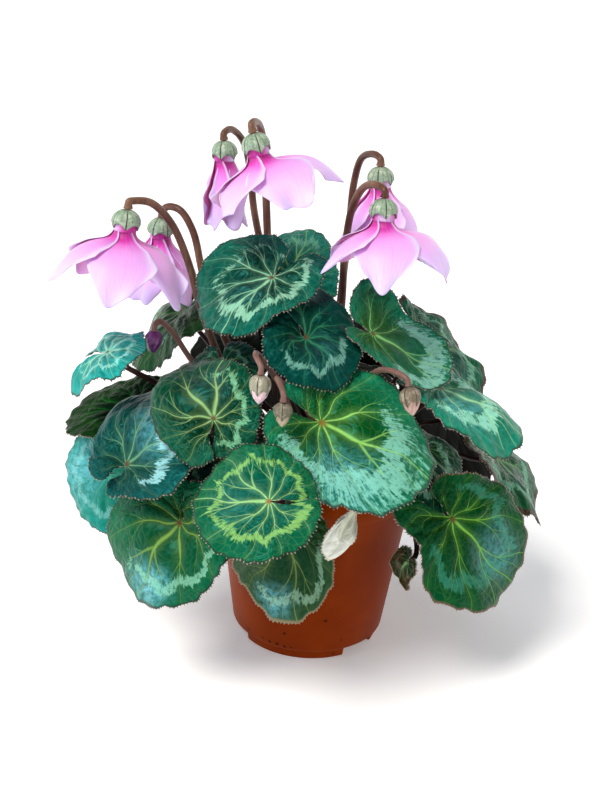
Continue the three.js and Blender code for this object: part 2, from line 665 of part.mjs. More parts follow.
add(group, "pot", makePot(), 0xb5481b);
add(group, "soil", makeSoil(), 0x2b1c12, 0.95);
add(group, "corm_and_leaf_stalks", makeCormAndStalks(blades, stalkSpots), 0x5a3226);
for (const blade of blades) add(group, blade.name, blade.geometry, 0x1c6b3f, 0.45);
for (const { name, flower, stalk } of nodding) {
  if (name === "young_leaf") {
    const furled = makeFurledPetals(flower.size).translate(-3, 0, 0).applyMatrix4(flowerFrame(flower));
    add(group, name, geometryOf(solidOf(stalk).add(solidOf(furled))), 0x5b1f52);
    continue;
  }
  const bud = name in BUDS;
  add(group, `${name}_stalk`, stalk, bud ? 0x7a5148 : 0x6b3a2a);
  const hanging = addHanging(name, flower);
  add(hanging, `${name}_calyx`, makeCalyx(bud ? flower.size : 1), bud ? 0xb9bfa6 : 0x9fb89a);
  const petals = bud ? makeFurledPetals(flower.size) : makeCorolla(flower);
  add(hanging, `${name}_petals`, petals, bud ? 0xf3dfe6 : 0xe87fd0);
}

export default group;
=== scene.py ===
import math
import random
from collections import namedtuple

import bmesh
import bpy
import numpy as np
from mathutils import Matrix, Vector, noise


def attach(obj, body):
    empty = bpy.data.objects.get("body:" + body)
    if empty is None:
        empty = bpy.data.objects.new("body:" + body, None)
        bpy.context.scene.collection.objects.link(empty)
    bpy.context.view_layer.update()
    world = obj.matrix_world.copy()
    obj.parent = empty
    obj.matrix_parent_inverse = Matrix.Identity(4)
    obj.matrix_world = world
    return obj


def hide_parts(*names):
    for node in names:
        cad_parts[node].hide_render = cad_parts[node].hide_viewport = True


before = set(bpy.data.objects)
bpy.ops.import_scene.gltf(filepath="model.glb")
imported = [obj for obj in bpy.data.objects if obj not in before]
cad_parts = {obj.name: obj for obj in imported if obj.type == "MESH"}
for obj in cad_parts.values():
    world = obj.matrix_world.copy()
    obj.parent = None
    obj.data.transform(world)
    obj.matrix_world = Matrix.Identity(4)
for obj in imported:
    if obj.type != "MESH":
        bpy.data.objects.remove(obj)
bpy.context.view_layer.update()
mm = 0.001


def paint(code):  # a web colour such as "#2f7a5a", as linear light
    steps = [int(code[i:i + 2], 16) / 255 for i in (1, 3, 5)]
    return tuple(c / 12.92 if c < 0.04045 else ((c + 0.055) / 1.055) ** 2.4 for c in steps) + (1.0,)


def ease(x, low, high):  # rises smoothly from 0 to 1 as x goes from low to high
    t = np.clip((x - low) / (high - low), 0, 1)
    return t * t * (3 - 2 * t)


def heading(bearing, rise):  # bearing turns from the front towards the right
    b, e = math.radians(bearing), math.radians(rise)
    return Vector((math.sin(b) * math.cos(e), -math.cos(b) * math.cos(e), math.sin(e)))


def axesAt(place, *axes):  # a frame in millimetres, from its three axes and its place
    return Matrix.Translation(place) @ Matrix(axes).transposed().to_4x4()


def hangingFrame(top, face):  # its first axis points down the thing that hangs, its third out of the face
    down, front = heading(face[0], face[1] - 90), heading(*face)
    return axesAt(top, down, front.cross(down), front)


def moved(frameThere, spots):  # millimetres in a piece's own frame, as metres in the plant's
    turn = np.array(frameThere)
    return (spots @ turn[:3, :3].T + turn[:3, 3]) * mm


def setSpots(mesh, spots):
    mesh.vertices.foreach_set("co", np.asarray(spots, np.float32).ravel())
    mesh.update()


def opened(mesh):  # a bmesh of the mesh, to work on
    bm = bmesh.new()
    bm.from_mesh(mesh)
    return bm


def closed(bm, mesh):  # puts the work into the mesh, or into a new one of that name
    if isinstance(mesh, str):
        mesh = bpy.data.meshes.new(mesh)
    bm.to_mesh(mesh)
    bm.free()
    return mesh


def giveSlot(made, index):  # the faces that an operator made take another of the piece's materials
    for face in {f for v in made["verts"] for f in v.link_faces}:
        face.material_index = index


def gridMesh(name, across, along):  # a flat sheet of quads, and each point's two shares from 0 to 1
    bm = bmesh.new()
    bmesh.ops.create_grid(bm, x_segments=across, y_segments=along, size=0.5)
    mesh = closed(bm, name)
    flat = np.zeros(3 * len(mesh.vertices), np.float32)
    mesh.vertices.foreach_get("co", flat)
    return mesh, flat.reshape(-1, 3)[:, 0] + 0.5, flat.reshape(-1, 3)[:, 1] + 0.5


def giveMap(mesh, name, u, v):  # a UV map from two numbers at each point
    spots = np.zeros(len(mesh.loops), np.int32)
    mesh.loops.foreach_get("vertex_index", spots)
    mesh.uv_layers.new(name=name).data.foreach_set(
        "uv", np.stack([u[spots], v[spots]], 1).astype(np.float32).ravel())


def weld(mesh, faceLike=None, close=1e-6):  # closes seams and poles, and turns the faces to look one way
    bm = opened(mesh)
    bmesh.ops.remove_doubles(bm, verts=bm.verts, dist=close)
    bm.normal_update()
    if faceLike is None:
        bmesh.ops.recalc_face_normals(bm, faces=bm.faces)
    elif sum(f.normal.dot(faceLike) * f.calc_area() for f in bm.faces) < 0:
        bmesh.ops.reverse_faces(bm, faces=bm.faces)
    closed(bm, mesh)


def added(name, data):  # a new object in the scene
    made = bpy.data.objects.new(name, data)
    bpy.context.scene.collection.objects.link(made)
    return made


def applied(piece):  # a new mesh with the modifiers or the curve's settings in it
    return bpy.data.meshes.new_from_object(piece.evaluated_get(bpy.context.evaluated_depsgraph_get()))


def finished(name, mesh, looks, modifiers=()):  # an object of the mesh, with its modifiers applied
    piece = added(name, mesh)
    for look in looks:
        mesh.materials.append(look)
    for kind, settings in modifiers:
        modifier = piece.modifiers.new(kind.title(), kind)
        for key, value in settings.items():
            setattr(modifier, key, value)
    if modifiers:
        solid = applied(piece)
        piece.modifiers.clear()
        piece.data = solid
        solid.name = name
    return piece


def shadeSmooth(mesh):
    mesh.polygons.foreach_set("use_smooth", [True] * len(mesh.polygons))


def stand(piece, slot, *nodes):  # the piece takes the place of its CAD nodes
    shadeSmooth(piece.data)
    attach(piece, "root")
    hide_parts(*nodes)


def skin(thickness, under=1, rim=2):  # a Solidify that gives the underside and the rim their own looks
    return ("SOLIDIFY", {
        "thickness": thickness * mm, "offset": 0, "material_offset": under, "material_offset_rim": rim})


def tubeMesh(name, lines, sides):  # round tubes along lines of (point in mm, radius in mm)
    curve = bpy.data.curves.new(name, "CURVE")
    curve.dimensions = "3D"
    curve.bevel_depth = mm
    curve.bevel_resolution = sides // 4 - 1
    curve.use_fill_caps = True
    for line in lines:
        spline = curve.splines.new("POLY")
        spline.points.add(len(line) - 1)
        for spot, (place, radius) in zip(spline.points, line):
            spot.co = (*(Vector(place) * mm), 1)
            spot.radius = radius
    holder = added(name, curve)
    mesh = applied(holder)
    bpy.data.objects.remove(holder)
    bpy.data.curves.remove(curve)
    return mesh


class Wire:  # a node's output, so that sums on it make Math nodes
    def __init__(self, socket):
        self.socket, self.tree = socket, socket.id_data

    def __add__(self, other):
        return reckon("ADD", self, other)

    def __sub__(self, other):
        return reckon("SUBTRACT", self, other)

    def __mul__(self, other):
        return reckon("MULTIPLY", self, other)

    def __truediv__(self, other):
        return reckon("DIVIDE", self, other)

    def __abs__(self):
        return reckon("ABSOLUTE", self)

    __radd__ = __add__
    __rmul__ = __mul__


def plug(socket, value):  # puts a wire, a number or a web colour into a socket
    if isinstance(value, Wire):
        value.tree.links.new(value.socket, socket)
    else:
        socket.default_value = paint(value) if isinstance(value, str) else value


def node(tree, kind, inputs=(), output=0, **settings):  # a new node, as the wire from one of its outputs
    made = tree.nodes.new(kind)
    for key, value in settings.items():
        setattr(made, key, value)
    for key, value in dict(inputs).items():
        plug(made.inputs[key], value)
    return Wire(made.outputs[output])


def reckon(kind, *values):  # the first value is a wire
    return node(values[0].tree, "ShaderNodeMath", enumerate(values), operation=kind)


def most(wires):  # the highest of them
    top = wires[0]
    for wire in wires[1:]:
        top = reckon("MAXIMUM", top, wire)
    return top


def fromWhole(wire):  # how far it is from the nearest whole number
    return abs(wire - reckon("ROUND", wire))


def smooth(wire, low, high, start=0.0, end=1.0):  # as ease, in nodes, from start to end
    inputs = {"Value": wire, "From Min": low, "From Max": high, "To Min": start, "To Max": end}
    return node(wire.tree, "ShaderNodeMapRange", inputs, interpolation_type="SMOOTHSTEP")


def blend(share, first, second):
    return node(share.tree, "ShaderNodeMix", {0: share, 6: first, 7: second}, 2, data_type="RGBA")


def layered(colour, *coats):  # each coat is its share and its colour, and lies over the ones before
    for share, tone in coats:
        colour = blend(share, colour, tone)
    return colour


def grain(where, scale, detail=3.0, rough=0.55, seed=0.0):
    inputs = {"Vector": where, "W": seed, "Scale": scale, "Detail": detail, "Roughness": rough}
    return node(where.tree, "ShaderNodeTexNoise", inputs, noise_dimensions="4D")


def startLook(name, roughness, **sockets):
    look = bpy.data.materials.new(name)
    look.use_nodes = True
    shader = look.node_tree.nodes["Principled BSDF"]
    for key, value in {"Roughness": roughness, **sockets}.items():
        plug(shader.inputs[key.replace("_", " ")], value)
    return look, shader


def objectSpots(shader):
    return node(shader.id_data, "ShaderNodeTexCoord", output="Object")


def mapSpots(shader, name):
    return node(shader.id_data, "ShaderNodeUVMap", uv_map=name)


def parts(wire):  # its x, y and z
    first = node(wire.tree, "ShaderNodeSeparateXYZ", {0: wire})
    return [Wire(socket) for socket in first.socket.node.outputs]


def joined(x, y):
    return node(x.tree, "ShaderNodeCombineXYZ", {0: x, 1: y})


def dress(shader, colour, height=None, distance=0.0, strength=1.0):  # the relief's distance is in millimetres
    plug(shader.inputs["Base Color"], colour)
    if height:
        inputs = {"Height": height, "Distance": distance * mm, "Strength": strength}
        plug(shader.inputs["Normal"], node(height.tree, "ShaderNodeBump", inputs))


print("stage: camera, light and floor")

# its place in metres, then degrees: how far it turns left, looks down and leans, and how tall the view is
view = {"place": (0, -0.6429, 0.3863), "yaw": 0.984, "pitch": 21.08, "roll": 3.2, "tall": 35.24}


def makeCamera():
    yaw, pitch, roll = (math.radians(view[key]) for key in ("yaw", "pitch", "roll"))
    right = Vector((math.cos(yaw), math.sin(yaw), 0))
    ahead = Vector((-math.sin(yaw) * math.cos(pitch), math.cos(yaw) * math.cos(pitch), -math.sin(pitch)))
    leant = right * math.cos(roll) + right.cross(ahead) * math.sin(roll)
    data = bpy.data.cameras.new("camera")
    data.sensor_fit = "VERTICAL"
    data.angle_y = math.radians(view["tall"])
    data.clip_start, data.clip_end = 0.01, 60
    camera = added("camera", data)
    camera.matrix_world = axesAt(view["place"], leant, leant.cross(ahead), -ahead)
    bpy.context.scene.camera = camera


lamps = {  # soft boxes: place, what they look at, size, power, colour
    "skyBox": ((-1.0, -0.5, 0.5), (0, 0, 0.13), 0.8, 2.6, "#bfe0ff"),
    "topBox": ((0.25, 0.5, 1.1), (0, 0, 0.2), 0.6, 2.2, "#f2f8ff"),
}
sun = {"from": (-0.62, -0.62, 1.15), "strength": 3.0, "wide": 26, "colour": "#fffaf2"}
sky = {"colour": "#ecf4ff", "strength": 0.17}


def makeLamp(name, kind, aim, colour, **settings):
    data = bpy.data.lights.new(name, kind)
    data.color = paint(colour)[:3]
    for key, value in settings.items():
        setattr(data, key, value)
    lamp = added(name, data)
    lamp.rotation_euler = aim.to_track_quat("-Z", "Y").to_euler()
    return lamp


def makeLight():
    for name, (place, target, size, power, colour) in lamps.items():
        lamp = makeLamp(name, "AREA", Vector(target) - Vector(place), colour, size=size, energy=power)
        lamp.location = place
    makeLamp("sun", "SUN", -Vector(sun["from"]), sun["colour"],
             energy=sun["strength"], angle=math.radians(sun["wide"]))
    world = bpy.context.scene.world or bpy.data.worlds.new("world")
    bpy.context.scene.world = world
    world.use_nodes = True
    plug(world.node_tree.nodes["Background"].inputs["Color"], sky["colour"])
    plug(world.node_tree.nodes["Background"].inputs["Strength"], sky["strength"])


floor = {"wide": 30, "steps": 60, "flat": 8, "sweep": 10, "glow": 0.22}  # it rises beyond its flat part


def makeFloor():
    mesh, across, along = gridMesh("floor", floor["steps"], floor["steps"])
    x, y = (across - 0.5) * floor["wide"], (along - 0.5) * floor["wide"]
    setSpots(mesh, np.stack([x, y, np.maximum(np.hypot(x, y) - floor["flat"], 0) ** 2 / floor["sweep"]], 1))
    look, shader = startLook(
        "paleFloor", 0.9, Emission_Color="#ffffff", Emission_Strength=floor["glow"])  # keeps its shadow pale
    dress(shader, blend(grain(objectSpots(shader), 3.0), "#fdfdfd", "#f9f9fa"))
    piece = finished("floor", mesh, [look])
    shadeSmooth(mesh)


bpy.context.scene.view_settings.view_transform = "Standard"
makeCamera()
makeLight()
makeFloor()


leafForm = {"rise": 0.12, "droop": 0.3, "fold": 0, "ruffle": 0.06, "waves": 5, "curl": 0.05, "lobes": 170,
            "lap": 0, "shut": (0.12, 0.6)}

# Where the stalk ends, where the face looks, the tip's turn, the reach to the margin from the left lobe round
# by the tip to the right lobe, changes of form, and how the stalk bows: as in the solids.
Leaf = namedtuple("Leaf", "at face turn reaches form bow", defaults=((0.35, 0, 0.22),))
leafRows = {
    "leaf_01": ((8, 103, 112), (172, 38), 10, (32, 40, 48, 54, 50, 38, 32), dict(droop=0.26)),
    "leaf_02": ((-66, 80, 108), (222, 30), -15, (30, 38, 47, 52, 46, 38, 31), dict(ruffle=0.08)),
    "leaf_03": ((76, 70, 106), (132, 30), 12, (31, 38, 46, 50, 47, 38, 30), {}, (0.35, 0, 0.12)),
    "leaf_04": ((-86, 26, 122), (258, 30), 20, (28, 35, 42, 46, 42, 36, 28), dict(ruffle=0.08)),
    "leaf_05": ((102, 24, 102), (80, 46), -10, (28, 34, 38, 45, 38, 34, 28), dict(ruffle=0.09, droop=0.15),
                (0.55, 0, 0.22)),
    "leaf_06": ((42, 70, 152), (148, 48), -20, (28, 35, 42, 46, 43, 36, 28), dict(ruffle=0.09)),
    "leaf_07": ((-38, 70, 154), (208, 46), 25, (30, 38, 45, 49, 44, 37, 30), {}),
    "leaf_08": ((55, 20, 170), (70, 52), 0, (32, 35, 40, 53, 38, 31, 30),
                dict(ruffle=0.12, waves=6, droop=0.2)),
    "leaf_09": ((-80, 30, 176), (285, 50), -10, (25, 34, 40, 42, 38, 34, 25), dict(ruffle=0.08)),
    "leaf_10": ((-21, 66, 190), (-4, 45), 172, (24, 28, 27, 37, 27, 28, 24), dict(ruffle=0.08)),
    "leaf_11": ((-47, -58, 128), (-30, 62), 10, (20, 24, 28, 30, 28, 24, 20), {}),
    "leaf_12": ((49, -46, 130), (36, 60), 10, (16, 22, 31, 35, 31, 22, 16), dict(ruffle=0.08)),
    "leaf_13": ((-109, -42, 106), (-30, 16), -60, (30, 30, 30, 31, 31, 31, 30),
                dict(droop=0.2, ruffle=0.03)),
    "leaf_14": ((-66, -80, 100), (-28, 24), -25, (21, 24, 44, 49, 37, 31, 26),
                dict(droop=0.28, lobes=187, lap=0.06), (0.55, 0, 0.22)),
    "leaf_15": ((-14, -80, 105), (0, 12), 10, (15, 19, 35, 54, 28, 17, 14), dict(droop=0.16, fold=-0.2),
                (0.55, 0, 0.22)),
    "leaf_16": ((67, -60, 102), (20, 24), 48, (33, 22, 45, 59, 40, 25, 22), dict(ruffle=0.07),
                (0.55, 0, 0.22)),
    "leaf_17": ((60, -38, 164), (55, 70), 28, (24, 20, 36, 50, 26, 26, 24), dict(fold=-0.2, ruffle=0.08),
                (0.35, 0, 0.12)),
    "leaf_18": ((-51, -42, 170), (-30, 50), 30, (16, 19, 22, 25, 22, 19, 16), {}),
    "leaf_19": ((61, -54, 79), (-30, 10), -36, (7, 8, 12, 29, 11, 8, 7), dict(droop=0.3, fold=0.5),
                (0.75, 0, 0.22)),
    "leaf_20": ((18, -66, 110), (14, 4), -34, (4, 4, 5, 27, 3, 4, 4), dict(droop=0.1, ruffle=0.02),
                (1, 0, 0.22)),
    "leaf_21": ((-101, -30, 139), (-60, 68), -40, (24, 28, 32, 36, 30, 25, 24),
                dict(droop=0.1, ruffle=0.03)),
    "leaf_22": ((-93, -70, 124), (-42, 38), 150, (18, 17, 34, 45, 47, 24, 17), dict(droop=0.3),
                (0.35, 0, 0.35)),
    "leaf_23": ((1, -84, 160), (12, 44), 62, (28, 34, 44, 60, 42, 30, 27), dict(droop=0.24, ruffle=0.07)),
    "leaf_24": ((-9, -60, 194), (12, 44), 30, (19, 22, 25, 30, 27, 27, 37), dict(rise=0.2),
                (0.35, -0.12, 0.22)),
    "leaf_25": ((21, -44, 189), (20, 42), 66, (16, 14, 23, 47, 24, 30, 16), dict(droop=0.1, fold=0.22),
                (0.35, 0, 0.35)),
    "leaf_26": ((-51, -76, 155), (-22, 38), 196, (20, 24, 25, 35, 41, 27, 25), dict(lobes=188, lap=0.07),
                (0.35, -0.25, 0.22)),
    "leaf_27": ((-20, -110, 127), (-6, 42), -92, (23, 23, 29, 38, 32, 26, 26),
                dict(lobes=190, lap=0.07, fold=0.2)),
    "leaf_28": ((-27, -46, 219), (-12, 40), -34, (19, 31, 41, 37, 22, 22, 28), dict(ruffle=0.08),
                (0.35, 0.12, 0.22)),
    "leaf_29": ((-109, -42, 174), (-52, 58), 130, (27, 18, 18, 18, 21, 22, 19), dict(ruffle=0.1),
                (0.35, 0, 0.12)),
}
leaves = {name: Leaf(*row) for name, row in leafRows.items()}

leafPaint = {  # the plain leaf of the mound, which the others change
    "deep": "#02351f", "outer": "#075444", "silver": "#88c8a8", "vein": "#7cb46c", "heart": "#5a3018",
    # the near-black underside colour is partly the underside's own dark maroon and partly painted shade of
    # the gaps between the leaves
    "edge": "#22301c", "teeth": "#a49c90", "under": "#1a1412", "underVein": "#4a3436",
    # shares of the reach: how far out the silver band lies, and how wide it and the edge are; then how much
    # of their colours shows in the band, beyond it and in the veins
    "band": 0.66, "bandWidth": 0.15, "edgeWidth": 0.03, "bandShare": 0.6, "openBand": 0.0, "veinShare": 0.75,
    "gloss": 0.32, "shine": 0.3,
    "lit": (0, 180, 0.8),  # where the band is brightest, how far round it stays so, and its share elsewhere
    "bloom": (0, 0.5, 0.5, 0.07),  # a painted reflection of bluish sky light: where it lies, how wide it is and how strong
}
leafPaints = {
    "leaf_01": dict(deep="#033c1a", outer="#0a5c3c", band=0.62, bandWidth=0.2, lit=(20, 110, 0.4)),
    "leaf_02": dict(deep="#02382a", outer="#08604e", silver="#84c4b4", band=0.7, lit=(-50, 90, 0.3),
                    bloom=(-0.2, 0.5, 0.5, 0.3)),
    "leaf_03": dict(deep="#011409", outer="#02261a", under="#0b0b05", underVein="#1c1c0e"),
    "leaf_04": dict(deep="#073a10", outer="#0e5a2e", silver="#90c890", bandWidth=0.1,
                    bloom=(0.1, 0.7, 0.4, 0.3)),
    "leaf_05": dict(deep="#043c1c", outer="#085c30", edge="#4a2216", under="#2c260c", edgeWidth=0.09),
    "leaf_06": dict(deep="#022c1c", outer="#054a38", band=0.7, bandShare=0.45, lit=(40, 90, 0.2)),
    "leaf_08": dict(deep="#033a20", outer="#0a6444", edge="#4a2216", under="#2a1408", edgeWidth=0.08,
                    lit=(60, 60, 0.3)),
    "leaf_09": dict(deep="#12300c", outer="#1c4418", vein="#5a8a40", lit=(0, 60, 0.1)),
    "leaf_10": dict(deep="#033a2c", outer="#0c6c5c", bandShare=0.25, lit=(0, 60, 0.2)),
    "leaf_11": dict(deep="#012415", outer="#033420", bandShare=0.3),
    "leaf_12": dict(deep="#012a12", outer="#044020", under="#8a6890"),
    "leaf_13": dict(deep="#0c6c54", outer="#168c80", silver="#9cdcd8", vein="#4aa890", bandShare=0.3,
                    veinShare=0.3, gloss=0.28, bloom=(-0.2, 0.5, 0.8, 0.55)),
    "leaf_14": dict(deep="#034420", outer="#08603c", silver="#84c4a4", vein="#7ca044", band=0.74,
                    lit=(55, 75, 0.1), bloom=(0.1, 0.78, 0.4, 0.7)),
    "leaf_15": dict(deep="#15330c", outer="#284616", silver="#9cc8a8", vein="#829a50", edge="#8a7a5a",
                    band=0.76, bandShare=0.5, lit=(12, 40, 0.15), bloom=(-0.2, 0.78, 0.3, 0.55)),
    "leaf_16": dict(deep="#013a0c", outer="#024a20", silver="#48a890", vein="#84c84c", edge="#6a5040",
                    band=0.68, bandShare=0.3, bandWidth=0.2, shine=0.2, lit=(10, 120, 0.3),
                    bloom=(0.1, 0.62, 0.4, 0.3)),
    "leaf_17": dict(deep="#0f6c4a", outer="#188a70", silver="#a4ecd0", vein="#b0ecae", under="#6b7430",
                    band=0.6, bandWidth=0.3, bandShare=0.7, lit=(0, 90, 0.3), bloom=(-0.3, 0.3, 0.6, 0.4)),
    "leaf_18": dict(deep="#012a20", outer="#033a2c", bandShare=0.4),
    "leaf_19": dict(deep="#162008", outer="#26300f", silver="#b08a80", edge="#c09a92", under="#3a3414",
                    bandShare=0.3),
    "leaf_20": dict(deep="#eef0dc", outer="#fbfbf2", silver="#fbfbf2", vein="#e4e8c8", edge="#c8c4a4",
                    teeth="#efe8d0", under="#e4e6cc", heart="#c8c8a0", veinShare=0.3,
                    bloom=(0, 0.5, 0.5, 0)),
    "leaf_21": dict(deep="#021d01", outer="#0c2c03", silver="#1f4a0c", vein="#1f6a1c", under="#3c3a0a",
                    bandShare=0.3, gloss=0.4, shine=0.1, bloom=(0, 0.5, 0.5, 0)),
    "leaf_22": dict(deep="#023a32", outer="#034c4c", silver="#a4e4e8", vein="#6ca078", band=0.62,
                    bandShare=0.7, bandWidth=0.18, lit=(-30, 40, 0.15), bloom=(0.1, 0.55, 0.5, 0.4)),
    "leaf_23": dict(deep="#024c16", outer="#0f7c58", silver="#94e0ca", vein="#9cdc6c", heart="#7c5a1c",
                    bandWidth=0.24, openBand=0.66, lit=(-45, 85, 0.12), bloom=(-0.5, 0.45, 0.62, 0.55)),
    "leaf_24": dict(deep="#002a22", outer="#013e38", silver="#8cccb8", vein="#3c8c64", edge="#0c3024",
                    band=0.64, bandShare=0.45, veinShare=0.45, shine=0.22, lit=(-12, 62, 0.1)),
    "leaf_25": dict(deep="#1c4a10", outer="#137c5c", silver="#9cd8c8", vein="#8cd07c", under="#5c5c1a",
                    band=0.74, bandWidth=0.24, openBand=0.6, lit=(0, 45, 0.1)),
    "leaf_26": dict(deep="#012e14", outer="#065038", silver="#84c898", vein="#9cc47c", band=0.68,
                    bandWidth=0.18, bandShare=0.7, lit=(-80, 75, 0.35)),
    "leaf_27": dict(deep="#025440", outer="#056038", silver="#92c868", vein="#a8dc8c", heart="#8a5a2a",
                    band=0.68, bandWidth=0.17, bandShare=0.7, lit=(150, 120, 0.75)),
    "leaf_28": dict(deep="#012e20", outer="#0a6452", silver="#94ccac", vein="#9cdcae", bandWidth=0.17,
                    bandShare=0.8, lit=(90, 110, 0.6)),
    "leaf_29": dict(deep="#128070", outer="#1ca098", silver="#a0e8dc", vein="#9cdcb8",
                    bloom=(0, 0, 0.9, 0.35)),
}
veins = {  # on the leaf laid flat: shares of its size, and a depth in millimetres for the size given first
    "size": 45, "halfPlan": 165, "period": 0.7, "arch": 0.24, "fork": 0.26, "forkSpread": 0.26, "slope": 0.5,
    "next": 0.2, "nextSlope": 0.42, "width": 0.0115, "tipWidth": 0.004, "depth": 1.0, "wander": 0.04,
    "shuffle": (12.99, 43.76),  # the fork's place on each vein, the same in the mesh and in the paint
}


def planSpots(share, out, index):  # the leaf laid flat, from -1 to 1, a little uneven as its veins are
    angle = np.radians(share * veins["halfPlan"])
    across, ahead = out * np.sin(angle), out * np.cos(angle)
    fade = veins["wander"] * (1 - out ** 6) * ease(out, 0, 0.3)

    def sway(a, b, c):
        return np.sin(a * across + b * ahead + c + 2.1 * index)
    return (across + fade * (sway(5.1, 2.2, 0) + 0.6 * sway(-3.4, 9.3, 2)),
            ahead + fade * (sway(2.7, -5.9, 4) + 0.6 * sway(10.2, 3.8, 1)))


def puckers(across, ahead, seed):  # hollow along the veins and full between them, from -1 to 0
    out = np.hypot(across, ahead)
    arch = 1 + veins["arch"] * out
    turn = np.arctan2(across, ahead) * arch / veins["period"]
    which = np.round(turn)
    away = np.abs(turn - which) * veins["period"] * out / arch
    often, much = veins["shuffle"]
    chance = (np.sin(which * often + seed) * much) % 1
    past = np.maximum(out - veins["fork"] - veins["forkSpread"] * chance, 0)
    branch = np.abs(away - past * veins["slope"])
    return -np.maximum(np.exp(-((away / 0.05) ** 2)) * ease(out, 0.03, 0.2),
                       0.7 * np.exp(-((branch / 0.04) ** 2)) * ease(past, 0, 0.1))


def leafPlan(shader):  # the plan read back from the leaf's map: across, ahead, distance out and angle
    spot = mapSpots(shader, "leaf")
    across, ahead = (part * 2.0 + -1.0 for part in parts(spot)[:2])
    out = reckon("SQRT", across * across + ahead * ahead)
    return spot, across, ahead, out, reckon("ARCTAN2", across, ahead)


def veinMarks(out, angle, seed, size):  # radiating veins that fork twice, and how far a point is from them
    arch = out * veins["arch"] + 1.0
    turn = angle * arch / veins["period"]
    which = reckon("ROUND", turn)
    aside = abs(turn - which)
    away = aside * veins["period"] * out / arch
    often, much = veins["shuffle"]
    chance = reckon("FLOORED_MODULO", reckon("SINE", which * often + seed) * much, 1.0)
    past = reckon("MAXIMUM", out - (chance * veins["forkSpread"] + veins["fork"]), 0.0)
    branch = abs(away - past * veins["slope"])
    twig = abs(branch - reckon("MAXIMUM", past - veins["next"], 0.0) * veins["nextSlope"])
    number = abs(which)  # the midrib is number 0: it is wider, and runs on to the tip
    wide = smooth(out, 0.0, 0.8, veins["width"], veins["tipWidth"]) * smooth(number, 0.2, 0.8, 1.35, 0.85)
    wide = wide * (veins["size"] / size)
    marks = []
    for line, share, fade in ((away, 1.0, 0.35), (branch, 0.75, 0.2), (twig, 0.5, 0.1)):
        mark = smooth(line, wide * (0.3 * share), wide * (1.0 + share), share, 0.0)
        marks.append(mark * smooth(out, 0.3, 0.9, 1.0, smooth(number, 0.2, 0.8, 0.8, fade)))
    return most(marks), aside, away


def silverBand(out, angle, aside, fleck, seed, paints):  # where the band lies, filled with strokes and flecks
    rays = joined(angle * 16.0, out * 2.2)
    brush, sway = grain(rays, 1.5, 4.0, 0.7, seed + 3), grain(rays, 0.17, 2.0, 0.5, seed + 9)
    gap = out - (sway * 0.32 + (aside * 0.2 + brush * 0.3 + (paints["band"] - 0.36)))
    width = paints["bandWidth"]
    inner = smooth(gap, -0.8 * width, -0.1 * width)
    outer = smooth(gap, 0.1 * width, 1.0 * width, 1.0, paints["openBand"])
    toward, half, elsewhere = paints["lit"]
    facing = reckon("COSINE", angle - math.radians(toward))
    farthest, nearest = math.radians(min(half * 1.5, 180)), math.radians(half * 0.5)
    place = inner * outer * smooth(facing, math.cos(farthest), math.cos(nearest), elsewhere)
    fill = fleck * 0.6 + grain(rays, 2.6, 4.0, 0.7, seed + 5) * 0.6
    return smooth(fill - smooth(place, 0.0, 1.0, 0.86, 0.5), -0.04, 0.1) * smooth(place, 0.02, 0.2)


def leafLook(name, seed, size, paints):
    look, shader = startLook(
        name, paints["gloss"], Specular_IOR_Level=paints["shine"], Specular_Tint="#48c8c0")
    spot, across, ahead, out, angle = leafPlan(shader)
    marks, aside, away = veinMarks(out, angle, seed, size)
    larger = size / veins["size"]
    fleck, cloud = grain(spot, 30.0 * larger, 4.0, 0.65, seed), grain(spot, 2.6, 2.0, 0.5, seed + 7)
    band = silverBand(out, angle, aside, fleck, seed, paints)
    cell = node(spot.tree, "ShaderNodeTexVoronoi", {"Vector": spot, "Scale": 20.0 * larger},
                feature="DISTANCE_TO_EDGE")
    halo = smooth(away, 0.0, 0.08, 0.16, 0.0) * smooth(out, 0.2, 0.8, 1.0, 0.3)
    # a painted reflection of bluish sky light on the face, in patches broken up by the flecks
    reflectionAcross, reflectionAhead, reflectionWide, bloom = paints["bloom"]
    far = node(spot.tree, "ShaderNodeVectorMath", {0: joined(across - reflectionAcross, ahead - reflectionAhead)},
               "Value", operation="LENGTH")
    paintedSkyReflection = smooth(far, 0.0, reflectionWide, bloom, 0.0) * smooth(fleck, 0.34, 0.62, 0.15, 1.0)
    shadow = 0.45 * np.array(paint(paints["deep"])) + 0.55 * np.array(paint("#021408"))
    colour = layered(
        blend(smooth(cloud * 0.5 + (out + -0.25), 0.3, 1.0), paints["deep"], paints["outer"]),
        (smooth(fleck, 0.35, 0.7, 0.45, 0.0), shadow),
        (smooth(cell, 0.0, 0.1, 1.0, 0.0) * 0.045, paints["vein"]),
        (halo, paints["vein"]),
        # the painted sky reflection
        (paintedSkyReflection, "#74ccde"),
        (band * paints["bandShare"], paints["silver"]),
        (marks * paints["veinShare"], paints["vein"]),
        (smooth(out, 0.02, 0.075, 0.9, 0.0), paints["heart"]),
        (smooth(out, 0.995 - paints["edgeWidth"], 1.02 - paints["edgeWidth"], 0.0, 0.85), paints["edge"]))
    dress(shader, colour, marks * -0.6 + (fleck * 0.5 + smooth(cell, 0.0, 0.3) * 0.5), 0.5, 0.9)
    plug(shader.inputs["Roughness"], cloud * 0.24 + (marks * 0.15 + (paints["gloss"] - 0.1)))
    return look


def undersideLook(name, seed, size, paints):
    look, shader = startLook(name, 0.6, Specular_IOR_Level=0.12)
    spot, *_, out, angle = leafPlan(shader)
    marks = veinMarks(out, angle, seed, size)[0]
    cloud, fleck = grain(spot, 4.0, 3.0, 0.5, seed), grain(spot, 40.0, 2.0, 0.6, seed)
    colour = layered(blend(smooth(cloud, 0.3, 0.7, 0.0, 0.5), paints["under"], paints["deep"]),
                     (marks * 0.7, paints["underVein"]))
    dress(shader, colour, fleck * 0.2 + marks, 0.6)
    return look


